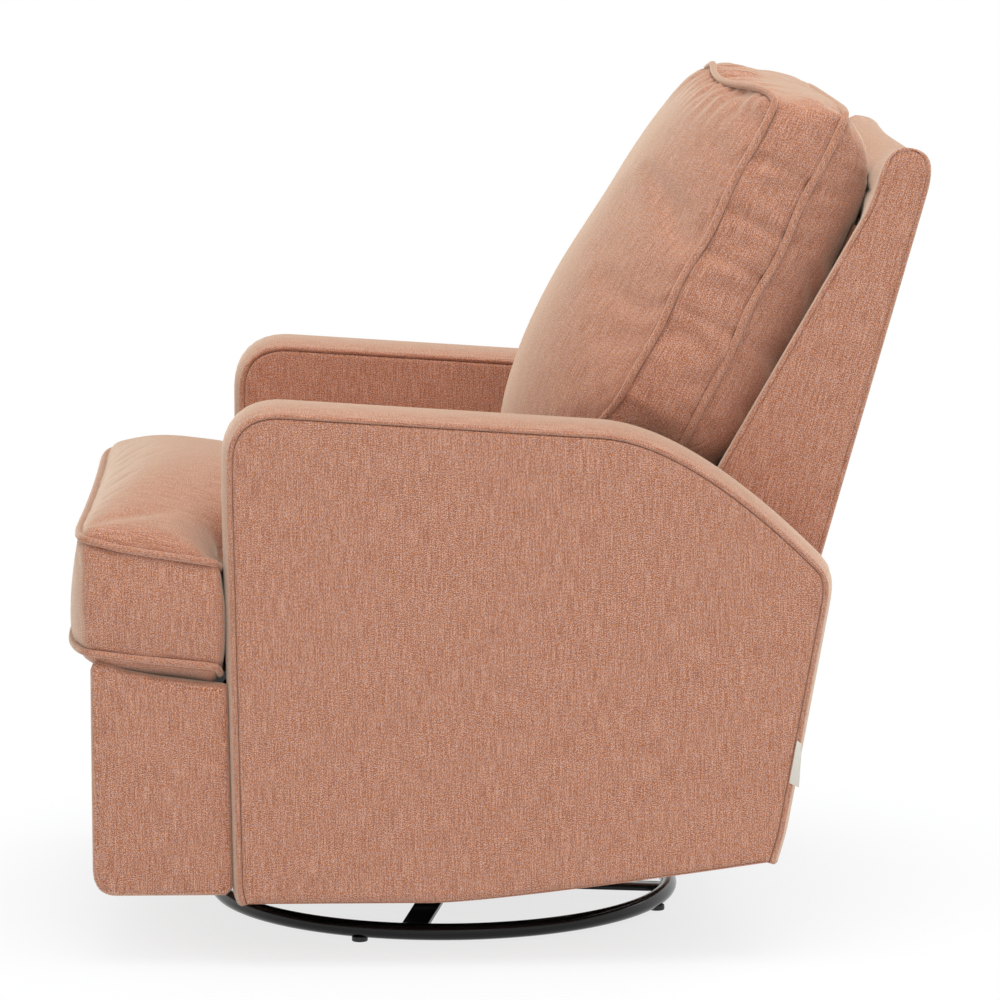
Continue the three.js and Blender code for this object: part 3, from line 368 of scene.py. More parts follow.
def to_piece(name, bm):
    """Turns the faces outwards and puts the mesh in the scene."""
    bmesh.ops.recalc_face_normals(bm, faces=bm.faces)
    mesh = bpy.data.meshes.new(name)
    bm.to_mesh(mesh)
    bm.free()
    piece = bpy.data.objects.new(name, mesh)
    bpy.context.scene.collection.objects.link(piece)
    return piece


def lengths_along(points, axis):
    """Distance along the grid lines of one direction, counted from the middle."""
    steps = np.linalg.norm(np.diff(points, axis=axis), axis=2)
    start = np.zeros_like(steps.take([0], axis))
    total = np.concatenate([start, np.cumsum(steps, axis=axis)], axis=axis)
    return total - total.take([total.shape[axis] // 2], axis)


def sew(name, panels, bias=0.0):
    """One smooth mesh from panels, each a grid of points, or a grid and its own UV map."""
    bm = bmesh.new()
    bm.loops.layers.uv.new("cloth")
    for panel in panels:
        if isinstance(panel, tuple):
            panel, uv = panel
        else:
            uv = turned(np.stack([lengths_along(panel, 1), lengths_along(panel, 0)], axis=2), bias)
        verts = [[bm.verts.new(p) for p in row] for row in panel]
        for i in range(len(verts) - 1):
            for j in range(len(verts[0]) - 1):
                corners = ((i, j), (i, j + 1), (i + 1, j + 1), (i + 1, j))
                add_face(bm, [verts[a][b] for a, b in corners], [uv[corner] for corner in corners])
    bmesh.ops.remove_doubles(bm, verts=bm.verts, dist=WELD)
    bmesh.ops.dissolve_degenerate(bm, edges=bm.edges, dist=THINNEST)
    return to_piece(name, bm)


def tube(name, path, outwards, radius, sides=10, bias=math.radians(45)):
    """A round tube along a closed path."""
    around = path[:-1]
    tangent = np.roll(around, -1, 0) - np.roll(around, 1, 0)
    tangent = unit(np.vstack([tangent, tangent[:1]]))
    side = unit(np.cross(tangent, outwards))
    lift = np.cross(side, tangent)
    angles = np.linspace(0, 2 * math.pi, sides + 1)[None, :, None]
    rings = (path[:, None] + radius * np.cos(angles) * side[:, None]
             + radius * np.sin(angles) * lift[:, None])
    return sew(name, [rings], bias)


print("sewing functions ready")

# %% [markdown]
# A stuffed cushion swells until its cloth is tight, and its seams hold it back.
# That is what a cloth simulation does: the seam lines are pinned, the air
# inside pushes outwards, and the cloth is a little larger than its start shape,
# so that it buckles softly beside the seams. The swelling is capped, so that a
# cushion can't grow past its own cut. Small puckers and the furrow of each seam
# come after it, because they are finer than the simulated cloth. The piping
# then lies in the furrow: a cord of 8 mm in a strip of the same cloth.

# %% Stuffing a cushion
CLOTH = {
    "quality": 6, "mass": 0.25, "tension_stiffness": 25, "compression_stiffness": 12,
    "shear_stiffness": 8, "bending_stiffness": 1.2,
    "use_pressure": True, "uniform_pressure_force": 4,
}
SWELL_FRAMES = 20
FURROW_REACH, FURROW_DEPTH = 5.5, 3.4
PIPING_RADIUS, PIPING_LIFT = 0.0041, 0.0008


def field(piece, kind="co"):
    """The piece's points, or their normals, as an array."""
    values = np.empty(len(piece.data.vertices) * 3)
    piece.data.vertices.foreach_get(kind, values)
    return values.reshape(-1, 3)


def set_field(piece, points):
    """Moves the piece's points."""
    piece.data.vertices.foreach_set("co", np.ascontiguousarray(points, dtype=np.float32).ravel())
    piece.data.update()


def finder(points):
    """A function that gives the nearest of these points: its place, number and distance."""
    tree = kdtree.KDTree(len(points))
    for i, point in enumerate(points):
        tree.insert(point, i)
    tree.balance()
    return tree.find


def swell(piece, held_points, fullness, cap_mm):
    """Swells the piece with cloth simulation, with its seams held."""
    nearest = finder(field(piece))
    held = piece.vertex_groups.new(name="seams")
    held.add(sorted({nearest(point)[1] for point in held_points}), 1.0, "REPLACE")
    cloth = piece.modifiers.new("swelling", "CLOTH")
    set_all(cloth.settings, CLOTH)
    cloth.settings.shrink_min = -fullness
    cloth.settings.effector_weights.gravity = 0
    cloth.settings.vertex_group_mass = "seams"
    cloth.collision_settings.use_collision = False
    cloth.point_cache.frame_start = 1
    cloth.point_cache.frame_end = SWELL_FRAMES
    start = field(piece)
    for frame_number in range(1, SWELL_FRAMES + 1):
        bpy.context.scene.frame_set(frame_number)
    moved = field(piece.evaluated_get(bpy.context.evaluated_depsgraph_get())) - start
    piece.modifiers.remove(cloth)
    piece.vertex_groups.remove(held)
    bpy.context.scene.frame_set(1)
    travel = np.linalg.norm(moved, axis=1)
    limit = cap_mm * MM
    moved *= (np.tanh(travel / limit) * limit / np.maximum(travel, 1e-9))[:, None]
    set_field(piece, start + moved)
    print(piece.name, "swelled by up to", round(float(travel.max()) / MM, 1), "mm, kept to", cap_mm)


def stuff(piece, loops, fullness, cap_mm, reach_mm, depth_mm, wave_mm, seed):
    """Swells a sewn cushion, refines it, and puckers and furrows its cloth along the seams."""
    seams = np.vstack(loops)
    swell(piece, seams, fullness, cap_mm)
    modify(piece, "SUBSURF", levels=1)
    nearest_seam = finder(seams)
    points, normals = field(piece), field(piece, "normal")
    for i, point in enumerate(points):
        fade = 1 - smooth(nearest_seam(point)[2] / MM / reach_mm)
        if fade > 0.001:
            place = Vector(point) / (wave_mm * MM) + Vector((seed, seed, seed))
            points[i] += normals[i] * depth_mm * MM * fade * noise.noise(place)
    set_field(piece, points)
    points, normals = field(piece), field(piece, "normal")
    away = np.array([nearest_seam(point)[2] for point in points]) / MM
    set_field(piece, points - normals * (FURROW_DEPTH * MM * bell(away, FURROW_REACH))[:, None])


def pipe(name, loop, middle, axis):
    """Piping along a seam loop, whose sharp turns are eased, a little out from the seam."""
    ring = loop[:-1]
    for _ in range(2):
        ring = (np.roll(ring, 1, 0) + 2 * ring + np.roll(ring, -1, 0)) / 4
    path = np.vstack([ring, ring[:1]])
    outwards = path - middle
    outwards = unit(outwards - np.outer(outwards @ axis, axis))
    return tube(name, path + outwards * PIPING_LIFT, outwards, PIPING_RADIUS)


print("stuffing functions ready, with piping of", 2 * PIPING_RADIUS / MM, "mm")

# %% [markdown]
# The seat cushion is a T: its front has an ear before each arm. Two T-shaped
# panels are sewn to a boxing strip, with piping in both seams. The crown of
# the top comes from the sheet-over-a-frame equation, solved on a grid of the
# T itself, so that it rises evenly from every part of the seam, ears too. The
# arm presses on the inner corner of each ear, so the cloth puckers and sinks
# there.

# %% Seat cushion: the cut
SEAT_FRONT, SEAT_NOTCH, SEAT_REAR = -408.0, -251.0, 165.0
SEAT_EAR_HALF, SEAT_HALF = 366.0, 260.0
SEAT_MARKS = mirrored(SEAT_HALF, SEAT_EAR_HALF)
SEAT_EDGE_TOP = ((SEAT_FRONT, -385.0, -368.0, SEAT_NOTCH, SEAT_REAR),
                 (477.0, 472.0, 468.0, 450.0, 418.0))
SEAT_RIDGE = ((SEAT_FRONT, -340.0, -250.0, SEAT_REAR), (551.0, 546.0, 523.0, 502.0))
SEAT_EDGE_BOTTOM = ((SEAT_FRONT, SEAT_REAR), (352.0, 293.0))
SEAT_BELLY, SEAT_BELLY_POWER, SEAT_RISE_POWER = 25.0, 0.13, 0.38
SEAT_CORNER, SEAT_CORNER_POWER = 11.0, 12
SEAT_LOW_CORNER, SEAT_LOW_CORNER_POWER = 26.0, 7
SEAT_LEAN, SEAT_BOW, SEAT_LEAN_REACH = 13.0, 5.0, 70.0
SEAT_PUCKER, SEAT_PUCKER_REACH, SEAT_PUCKER_POWER = 20.0, 30.0, 0.2
SEAT_SINK = {"top": 11.0, "bottom": 14.0, "along": 24.0, "inward": 26.0}
BESIDE_ARM = (SEAT_HALF - 30, SEAT_EAR_HALF - 20)
SEAT_BELT, SEAT_GRID, SEAT_LAYERS = 6.0, 9.0, 15
BELT_SHARE = {"front": -0.2, "rear": 0.4, "ear": 0.6, "notch": 0.8}
SWELL_ROOM = {"seat": 9.0, "back": 14.0}
MEMBRANE_ROUNDS = 5000


def spaced(marks, step):
    """Even steps between marks, with every mark kept."""
    places = [marks[0]]
    for a, b in zip(marks, marks[1:]):
        count = max(1, round((b - a) / step))
        places += list(np.linspace(a, b, count + 1)[1:])
    return np.array(places)


def membrane(inside):
    """Height of a loaded sheet over the marked points, held along their rim."""
    height = np.zeros(inside.shape)
    rim = np.ones(inside.shape, bool)
    rim[1:-1, 1:-1] = ~(inside[1:-1, 1:-1] & inside[:-2, 1:-1] & inside[2:, 1:-1]
                        & inside[1:-1, :-2] & inside[1:-1, 2:])
    for _ in range(MEMBRANE_ROUNDS):
        height[1:-1, 1:-1] = (height[:-2, 1:-1] + height[2:, 1:-1]
                              + height[1:-1, :-2] + height[1:-1, 2:] + 1) / 4
        height[rim] = 0
    return height / height.max()


seat_xs = spaced(SEAT_MARKS, SEAT_GRID)
seat_ys = spaced([SEAT_FRONT, SEAT_NOTCH, SEAT_REAR], SEAT_GRID)
plan_x, plan_y = np.meshgrid(seat_xs, seat_ys)
seat_crown = membrane((abs(plan_x) <= SEAT_HALF + 0.01) | (plan_y <= SEAT_NOTCH + 0.01))
seat_room, back_room = (SWELL_ROOM[name] for name in ("seat", "back"))


def seat_surface(w):
    """The T's points at one height share, from -1 at the lower seam to 1 at the upper."""
    from_notch, share, low = plan_y - SEAT_NOTCH, abs(plan_x) / SEAT_EAR_HALF, (1 - w) / 2
    edge_top = np.interp(plan_y, *SEAT_EDGE_TOP)
    rise = (np.interp(plan_y, *SEAT_RIDGE) - edge_top - seat_room) * seat_crown ** SEAT_RISE_POWER
    beside_arm = smooth(abs(plan_x), *BESIDE_ARM) * seat_crown ** SEAT_PUCKER_POWER
    pressed = (bell(from_notch, SEAT_SINK["along"])
               * smooth(SEAT_EAR_HALF - abs(plan_x), 0, SEAT_SINK["inward"])
               * smooth(abs(plan_x), BESIDE_ARM[0], SEAT_HALF))
    top = edge_top + rise - SEAT_PUCKER * bell(from_notch, SEAT_PUCKER_REACH) * beside_arm
    top = top - SEAT_SINK["top"] * pressed
    bottom = np.interp(plan_y, *SEAT_EDGE_BOTTOM) - SEAT_SINK["bottom"] * pressed
    bottom = bottom - (SEAT_BELLY - seat_room / 3) * seat_crown ** SEAT_BELLY_POWER
    corner = ((1 - low) * SEAT_CORNER * share ** SEAT_CORNER_POWER
              + low * SEAT_LOW_CORNER * share ** SEAT_LOW_CORNER_POWER)
    back_from_front = corner + SEAT_BOW * (1 - share ** 2) - SEAT_LEAN * low
    y = plan_y + back_from_front * (1 - smooth(plan_y, SEAT_FRONT, SEAT_FRONT + SEAT_LEAN_REACH))
    return np.stack([plan_x, y, bottom + (top - bottom) * (w + 1) / 2], axis=2)


def along(*corners):
    """The (row, column) places of a grid from corner to corner."""
    path = [corners[0]]
    for (i, j), (k, m) in zip(corners, corners[1:]):
        count = max(abs(k - i), abs(m - j))
        path += [(i + (k - i) * n // count, j + (m - j) * n // count)
                 for n in range(1, count + 1)]
    return path


belt_ws = np.linspace(-1, 1, SEAT_LAYERS)
layers = [seat_surface(w) for w in belt_ws]
ear_l, body_l, body_r, ear_r = (int(np.argmin(abs(seat_xs - x))) for x in SEAT_MARKS)
notch, last = int(np.argmin(abs(seat_ys - SEAT_NOTCH))), len(seat_ys) - 1

# Each part of the boxing strip, with how far its middle swells to the side and to the rear.
strips = [
    (along((0, ear_l), (0, ear_r)), (0, BELT_SHARE["front"])),
    (along((last, body_l), (last, body_r)), (0, BELT_SHARE["rear"])),
]
for ear, body, sign in ((ear_l, body_l, -1), (ear_r, body_r, 1)):
    strips += [
        (along((0, ear), (notch, ear)), (BELT_SHARE["ear"] * sign, 0)),
        (along((notch, min(ear, body)), (notch, max(ear, body))), (0, BELT_SHARE["notch"])),
        (along((notch, body), (last, body)), (sign, 0)),
    ]
swell_at = {}
for path, push in strips:
    for place in path:
        swell_at[place] = np.array(push) + swell_at.get(place, (0, 0))


def boxing(path):
    """The strip between the two T panels along a path of grid places."""
    strip = []
    for w, layer in zip(belt_ws, layers):
        line = np.array([layer[place] for place in path])
        line[:, :2] += np.array([swell_at[place] for place in path]) * SEAT_BELT * (1 - w * w)
        strip.append(line)
    return np.array(strip)


seat_panels = [boxing(path) for path, _ in strips]
for layer in (layers[0], layers[-1]):
    seat_panels += [layer[:notch + 1, ear_l:ear_r + 1], layer[notch:, body_l:body_r + 1]]
outline = along((0, ear_l), (0, ear_r), (notch, ear_r), (notch, body_r), (last, body_r),
                (last, body_l), (notch, body_l), (notch, ear_l), (0, ear_l))
seat_loops = [placed([layer[place] for place in outline]) for layer in (layers[-1], layers[0])]
seat_cushion = sew("seat_cushion_cover", [placed(panel) for panel in seat_panels])
print("seat cushion:", len(seat_cushion.data.vertices), "points")

# %% [markdown]
# Once stuffed, the seat is piped along its two seams, and all of it rides on
# the seat frame. Its filling is firm foam, so it swells little.

# %% Seat cushion: stuffing and piping
SEAT_MIDDLE = (0, SWIVEL[1] - 0.12, 0)

stuff(seat_cushion, seat_loops, fullness=0.006, cap_mm=22,
      reach_mm=30, depth_mm=1.8, wave_mm=24, seed=4.0)
for name, loop in zip(("seat_piping_top", "seat_piping_bottom"), seat_loops):
    dress(pipe(name, loop, SEAT_MIDDLE, np.array([0, 0, 1])), "seat_frame")
dress(seat_cushion, "seat_frame", "seat_cushion")

# %% [markdown]
# The back cushion is a deep boxed pad that leans on the frame's webbing. Its
# filling hangs down in front, so the front panel is crowned most at a third of
# its height and fades towards the top seam. The cut follows a line that leans
# back with the frame; each point is found by its share of the width, of the
# height and of the thickness.

# %% Back cushion: the cut
BACK_FOOT = np.array([225.0, 585.0])
BACK_LEAN = math.radians(26)
BACK_UP = np.array([math.sin(BACK_LEAN), math.cos(BACK_LEAN)])
BACK_OUT = np.array([-math.cos(BACK_LEAN), math.sin(BACK_LEAN)])
BACK_LENGTH, BACK_HALF = 397.0, 255.0
BACK_BOXING, BACK_TOP_BOXING, BACK_TOP_SHIFT = 86.0, 76.0, 5.0
BACK_CROWN, BACK_CROWN_POWER = 108.0, 2.5
CROWN_SHARES = [0.62, 0.86, 0.97, 1, 0.98, 0.92, 0.86, 0.82, 0.76, 0.66, 0.54]
BACK_REAR_CROWN, REAR_WIDTH_POWER, REAR_HEIGHT_POWER = 58.0, 14, 8
BACK_DROOP, DROOP_WIDTH_POWER, DROOP_HEIGHT_POWER, REAR_DROOP_SHARE = 116.0, 7, 1.5, 0.55
BACK_BELT, BACK_TOP_BELT, TOP_BELT_POWER, BACK_SLANT = 5.0, -8.0, 6, 18.0
BACK_CORNER, BACK_CORNER_POWER, BACK_TOP_CORNER_SHARE = 11.0, 10, 0.4
TOP_SEAM_DIP = ((0, 0.12, 0.3, 0.45, 0.6, 0.8, 0.92, 1),
                (4.0, 10.0, 14.0, 15.0, 12.0, 3.0, -1.0, 0))
TOP_SEAM_POWER = 9
SEAM_WAVE, SEAM_WAVES, SEAM_WAVE_POWER = 9.0, 19, 8
AT_SEAM = 0.999
BACK_SHARES = ((-1, 57), (0, 45), (-1, 11))


def eased(values, place):
    """A smooth curve through evenly spaced values, read at places from 0 to 1."""
    values = np.asarray(values, float)
    longer = np.concatenate([[2 * values[0] - values[1]], values, [2 * values[-1] - values[-2]]])
    spot = np.clip(place, 0, 1) * (len(values) - 1)
    i = np.minimum(spot.astype(int), len(values) - 2)
    t = spot - i
    a, b, c, d = (longer[i + k] for k in range(4))
    return 0.5 * (2 * b + (c - a) * t + (2 * a - 5 * b + 4 * c - d) * t ** 2
                  + (3 * b - a - 3 * c + d) * t ** 3)


def back_points(u, height, w):
    """Points of the back cushion, in chair millimetres, from three arrays of shares."""
    forward, belt, off_middle = (w + 1) / 2, 1 - w * w, 2 * height - 1
    depth = BACK_BOXING + (BACK_TOP_BOXING - BACK_BOXING) * height
    slack = back_room * np.sqrt(np.clip(4 * height * (1 - height), 0, 1))
    front = (BACK_CROWN * eased(CROWN_SHARES, height) - slack) * dome(u, BACK_CROWN_POWER)
    rear = BACK_REAR_CROWN * dome(u, REAR_WIDTH_POWER) * dome(off_middle, REAR_HEIGHT_POWER)
    out = -depth / 2 - rear + (depth + rear + front) * forward - BACK_TOP_SHIFT * height
    out = out + (SEAM_WAVE * np.sin(SEAM_WAVES * height) * abs(u) ** SEAM_WAVE_POWER
                 * height * (1 - height))
    hang = BACK_DROOP * dome(u, DROOP_WIDTH_POWER) * (1 - height) ** DROOP_HEIGHT_POWER
    hang *= REAR_DROOP_SHARE + (1 - REAR_DROOP_SHARE) * forward
    corner = BACK_CORNER * abs(u) ** BACK_CORNER_POWER * abs(off_middle) ** BACK_CORNER_POWER
    corner = corner * (1 - (1 - BACK_TOP_CORNER_SHARE) * height)
    up = height * BACK_LENGTH - hang - BACK_SLANT * w / 2 * height - corner * np.sign(off_middle)
    up = up - np.interp(abs(u), *TOP_SEAM_DIP) * height ** TOP_SEAM_POWER * forward
    up = up + BACK_TOP_BELT * belt * dome(u, TOP_BELT_POWER) * (height > AT_SEAM)
    x = u * (BACK_HALF + BACK_BELT * belt * (abs(u) > AT_SEAM)) - np.sign(u) * corner
    side = BACK_FOOT + up[..., None] * BACK_UP + out[..., None] * BACK_OUT
    return np.stack([x, side[..., 0], side[..., 1]], axis=-1)


us, heights, ws = (np.linspace(start, 1, count) for start, count in BACK_SHARES)


def back_panel(rows, columns, make):
    """One panel. The rule turns a grid of two shares into width, height and thickness."""
    return placed(back_points(*make(*np.meshgrid(rows, columns, indexing="ij"))))


ones = np.ones_like
back_panels = [
    back_panel(heights, us, lambda h, u: (u, h, ones(u))),
    back_panel(heights, us, lambda h, u: (u, h, -ones(u))),
    back_panel(ws, us, lambda w, u: (u, ones(u), w)),
    back_panel(ws, us, lambda w, u: (u, 0 * ones(u), w)),
    back_panel(heights, ws, lambda h, w: (ones(h), h, w)),
    back_panel(heights, ws, lambda h, w: (-ones(h), h, w)),
]
rim_u = np.concatenate([us, ones(heights[1:]), us[::-1][1:], -ones(heights[1:])])
rim_h = np.concatenate([ones(us), heights[::-1][1:], 0 * us[1:], heights[1:]])
back_loops = [placed(back_points(rim_u, rim_h, w * ones(rim_u))) for w in (1, -1)]
back_cushion = sew("back_cushion_cover", back_panels)
print("back cushion:", len(back_cushion.data.vertices), "points")

# %% [markdown]
# The back's filling is soft fibre, so it swells more than the seat, and its
# cloth gathers in short folds below the top seam. The boxing creases where
# the filling sags, and a seam crosses the rear panel near its top. These are
# pressed into the stuffed shape, each at its measured place.

# %% Back cushion: stuffing, folds and piping
GATHER_REACH, GATHER_WAVE, GATHER_DEPTH = 90.0, 23.0, 3.6
GATHER_FRONT, GATHER_TWIST, GATHER_BASE, TOP_SEAM_MARGIN = (30, 60), 5, 0.6, 6
SWIRL_MM, SWIRL_SEED = (60, 90), 2.0
BOXING_FOLDS, FOLD_WIDTH, FOLD_WANDER = ((131, 3.6), (199, 5.0), (255, 5.0), (318, 4.0)), 7, 8
REAR_SEAM_AT, REAR_SEAM_DEPTH, REAR_SEAM_WIDTH, REAR_FACE = 349.0, 2.6, 2.4, (50, 56)
SIDEWAYS = (0.7, 0.95)

stuff(back_cushion, back_loops, fullness=0.03, cap_mm=24,
      reach_mm=34, depth_mm=3.0, wave_mm=26, seed=9.0)
points, normals = (field(back_cushion) - SWIVEL) / MM, field(back_cushion, "normal")
up, out = ((points[:, 1:] - BACK_FOOT) @ axis for axis in (BACK_UP, BACK_OUT))
facing_side = abs(normals[:, 0])
swirl = np.array([noise.noise(Vector((x / SWIRL_MM[0], a / SWIRL_MM[1], SWIRL_SEED)))
                  for x, a in zip(points[:, 0], up)])
gathers = np.sin(2 * math.pi * points[:, 0] / GATHER_WAVE + GATHER_TWIST * swirl)
gathers *= GATHER_BASE + swirl
gathers *= (smooth(up, BACK_LENGTH - GATHER_REACH, BACK_LENGTH - TOP_SEAM_MARGIN)
            * smooth(out, *GATHER_FRONT))
folds = sum(depth * bell(up - place - FOLD_WANDER * swirl, FOLD_WIDTH)
            for place, depth in BOXING_FOLDS)
folds *= smooth(facing_side, *SIDEWAYS)
folds += REAR_SEAM_DEPTH * bell(up - REAR_SEAM_AT, REAR_SEAM_WIDTH) * smooth(-out, *REAR_FACE)
push = GATHER_DEPTH * gathers * (facing_side < SIDEWAYS[0]) - folds
set_field(back_cushion, placed(points + normals * push[:, None]))

back_middle = placed([0, *(BACK_FOOT + BACK_UP * BACK_LENGTH / 2)])
for name, loop in zip(("back_piping_front", "back_piping_rear"), back_loops):
    dress(pipe(name, loop, back_middle, np.array([0, *BACK_OUT])), "back")
dress(back_cushion, "back", "back_cushion")

# %% [markdown]
# Each arm is a plywood panel padded on both faces, with two flat side panels
# and a border strip round its front, top and rear. The seam line is drawn in
# the side view first, as four edges that meet: front, rear, bottom and top.

# %% Arms: outlines
ARM_OUTER, ARM_INNER = 375.0, 270.0
ARM_FRONT, ARM_BOTTOM, ARM_TOP, ARM_RADIUS = -235.0, 72.0, 609.0, 50.0
ARM_KNEE, ARM_KNEE_SLOPE = 520.0, 0.018
ARM_TOE = ARM_FRONT + ARM_KNEE_SLOPE * (ARM_KNEE - ARM_BOTTOM)
ARM_COLUMNS, ARM_ROWS = 75, 58


def bezier(a, b, c, count):
    """A quadratic curve from a to c, drawn towards b."""
    t = np.linspace(0, 1, count)[:, None]
    return (1 - t) ** 2 * a + 2 * t * (1 - t) * b + t * t * c


def drawn(count, *parts):
    """Evenly spaced points along a line through points and curves."""
    line = np.vstack(parts)
    place = np.concatenate([[0], np.cumsum(np.linalg.norm(np.diff(line, axis=0), axis=1))])
    even = np.linspace(0, place[-1], count)
    return np.stack([np.interp(even, place, column) for column in line.T], axis=1)


toe = bezier((ARM_TOE + 4, ARM_BOTTOM), (ARM_TOE + 0.4, ARM_BOTTOM + 9),
             (ARM_TOE - 0.4, ARM_BOTTOM + 22), 7)
corner = bezier((ARM_FRONT, ARM_TOP - ARM_RADIUS), (ARM_FRONT, ARM_TOP),
                (ARM_FRONT + ARM_RADIUS, ARM_TOP), 17)
shoulder = bezier((164, 586), (260, 580), (402, 438), 33)
heel = bezier((406, 402), (411, 429), (402, 438), 9)
tail = bezier((351, 115), (355.5, 128), (361.4, 152), 7)
sole = bezier((-20, ARM_BOTTOM), (45, ARM_BOTTOM), (351, 115), 17)
arm_front = drawn(ARM_ROWS, toe, [(ARM_FRONT, ARM_KNEE)], corner[:9])
arm_rear = drawn(ARM_ROWS, tail, heel[:5])
arm_low = drawn(ARM_COLUMNS, toe[:1], sole)
arm_high = drawn(ARM_COLUMNS, corner[8:], shoulder, heel[::-1][1:5])
rim_line = np.vstack([arm_front, arm_high[1:], arm_rear[::-1][1:]])
steps = np.gradient(rim_line, axis=0)
outwards = unit(np.stack([-steps[:, 1], steps[:, 0]], axis=1))
print("arm outline of", len(rim_line), "points")

# %% [markdown]
# The seams between panel and border are welted: the border's edge is folded
# over a cord of 7 mm, the panel is sewn tight against it, and the stitches lie
# 5 mm deep. The side panel is a patch stretched between its four edges, and
# the border, cord and all, is swept along the same edges. Both are drawn here
# as (depth or inset, height) pairs of their profile.

# %% Arms: panels, border and underside
LIP = [(0, 5.5), (0.5, 1.9), (1.4, 0.5), (3.0, 0), (7.0, 0)]
WELT = [(5.5, 0), (2.0, 0.7), (0.4, 1.9), (-0.2, 3.4), (0.6, 5.0),
        (2.4, 6.3), (4.2, 6.9), (6.5, 7.5), (11.0, 9.0)]
ARM_CROWN, ARM_CROWN_POWER, CROWN_POINTS = 13.5, 2.6, 13
PUFF, PUFF_WAVES, PUFF_WAVE_MM = 0.5, 1.1, (120, 95)
EDGE_CALM = 16


def patch(left, right, bottom, top):
    """A patch stretched between four edges that share their corners."""
    s = np.linspace(0, 1, len(bottom))[None, :, None]
    t = np.linspace(0, 1, len(left))[:, None, None]
    ruled = (1 - s) * left[:, None] + s * right[:, None] + (1 - t) * bottom[None] + t * top[None]
    square = ((1 - s) * (1 - t) * bottom[0] + s * (1 - t) * bottom[-1]
              + (1 - s) * t * top[0] + s * t * top[-1])
    return ruled - square


def border_section():
    """Across the border, from the outer seam to the inner: x, and how far it stands out."""
    middle = (ARM_OUTER + ARM_INNER) / 2
    side = [(ARM_OUTER - depth, lift) for depth, lift in WELT]
    start, foot = side[-1]
    crown = [(middle + (start - middle) * s,
              ARM_CROWN - (ARM_CROWN - foot) * abs(s) ** ARM_CROWN_POWER)
             for s in np.linspace(1, -1, CROWN_POINTS)[1:-1]]
    return np.array(side + crown + [(2 * middle - x, lift) for x, lift in side[::-1]])


def side_face(x_face, facing, seed):
    """A flat side panel: its lip beside the seam, its padded face and its lower edge."""
    rings = [rim_line - outwards * inset for inset, _ in LIP]
    lip = np.array([np.column_stack([np.full(len(ring), x_face - facing * dip), ring])
                    for ring, (_, dip) in zip(rings, LIP)])
    inner = rings[-1]
    left, right = inner[:ARM_ROWS], inner[::-1][:ARM_ROWS]
    top = inner[ARM_ROWS - 1:ARM_ROWS + ARM_COLUMNS - 1]
    share = np.linspace(0, 1, ARM_COLUMNS)[:, None]
    low = arm_low + (1 - share) * (left[0] - arm_low[0]) + share * (right[0] - arm_low[-1])
    face = patch(left, right, low, top)
    waves = np.array([[noise.noise(Vector((*(point / PUFF_WAVE_MM), seed))) for point in line]
                      for line in face])
    s, t = np.meshgrid(np.linspace(0, 1, ARM_COLUMNS), np.linspace(0, 1, ARM_ROWS))
    calm = smooth(EDGE_CALM * np.minimum(np.minimum(s, 1 - s), np.minimum(t, 1 - t)))
    x = x_face + facing * (PUFF + PUFF_WAVES * waves) * calm
    face = np.concatenate([x[..., None], face], axis=2)
    return lip, face, np.vstack([lip[:-1, 0], face[0], lip[:-1, -1][::-1]])


def build_arm(name, sign):
    """One arm's cover. The sign says on which side of the chair it stands."""
    lips, faces, low_edges = zip(*(side_face(x, facing, 3 * sign + facing)
                                   for x, facing in ((ARM_OUTER, 1), (ARM_INNER, -1))))
    section = border_section()
    border = np.array([np.column_stack([np.full(len(rim_line), x), rim_line + outwards * lift])
                       for x, lift in section]).transpose(1, 0, 2)
    rearwards = smooth(np.linspace(0, 1, len(low_edges[0])))[:, None]
    underside = [low_edges[0]]
    for x, lift in section[1:-1]:
        line = low_edges[0].copy()
        line[:, 0] = x
        line[:, 1:] += lift * ((1 - rearwards) * outwards[0] + rearwards * outwards[-1])
        underside.append(line)
    underside = np.array([*underside, low_edges[1]])
    side = np.array([sign, 1, 1])
    # Side panels are cut flat, so their UV map is the side view itself.
    panels = [(placed(p * side), p[..., 1:3] * MM) for p in (*lips, *faces)]
    return sew(name, [*panels, placed(border * side), placed(underside * side)])


for name, sign in (("arm_cover_left", 1), ("arm_cover_right", -1)):
    dress(build_arm(name + "_fabric", sign), "seat_frame", name)

# %% [markdown]
# The footrest is an upholstered box, open at the back, where its board and
# the scissor links sit. A box with a hollow is easiest to build from cells:
# the space is cut into small bricks, the solid ones are kept, and every brick
# face that looks at empty space becomes a face of the mesh. The outside is
# then rounded as foam rounds, with a softer radius along the front edges.

# %% Footrest
REST_HALF, REST_FRONT, REST_REAR = 365.0, -392.0, -254.0
REST_BOTTOM, REST_TOP_FRONT, REST_TOP_REAR = 83.0, 323.0, 309.0
REST_WALLS = {"front": 19.0, "top": 15.0, "bottom": 16.0, "cheek": 24.0}
REST_MOUTH = -272.0
REST_SLOT_IN, REST_SLOT_OUT, REST_SLOT_FRONT = 217.4, 239.4, -349.0
REST_ROUND, REST_SIDE_ROUND, REST_REAR_ROUND, REST_TOP_ROUND = 24.0, 9.0, 3.0, 15.0
REST_CHEEK = REST_HALF - REST_WALLS["cheek"]
REST_CHEEK_REACH = ((REST_CHEEK, REST_HALF), (5.0, 9.5))
REST_SIDE_RISE = ((REST_FRONT, REST_FRONT + 12, -355.0, -320.0, -268.0),
                  (24.0, 20.0, 12.0, 8.0, 6.0))
REST_SAG, REST_BULGE, BULGE_POWER, ROUND_SHARE = 4.0, 3.0, 4, 0.96
REST_LOW_BLEND = (REST_BOTTOM, REST_BOTTOM + 30)
REST_HIGH_BLEND = (REST_BOTTOM + 30, REST_TOP_FRONT - 20)
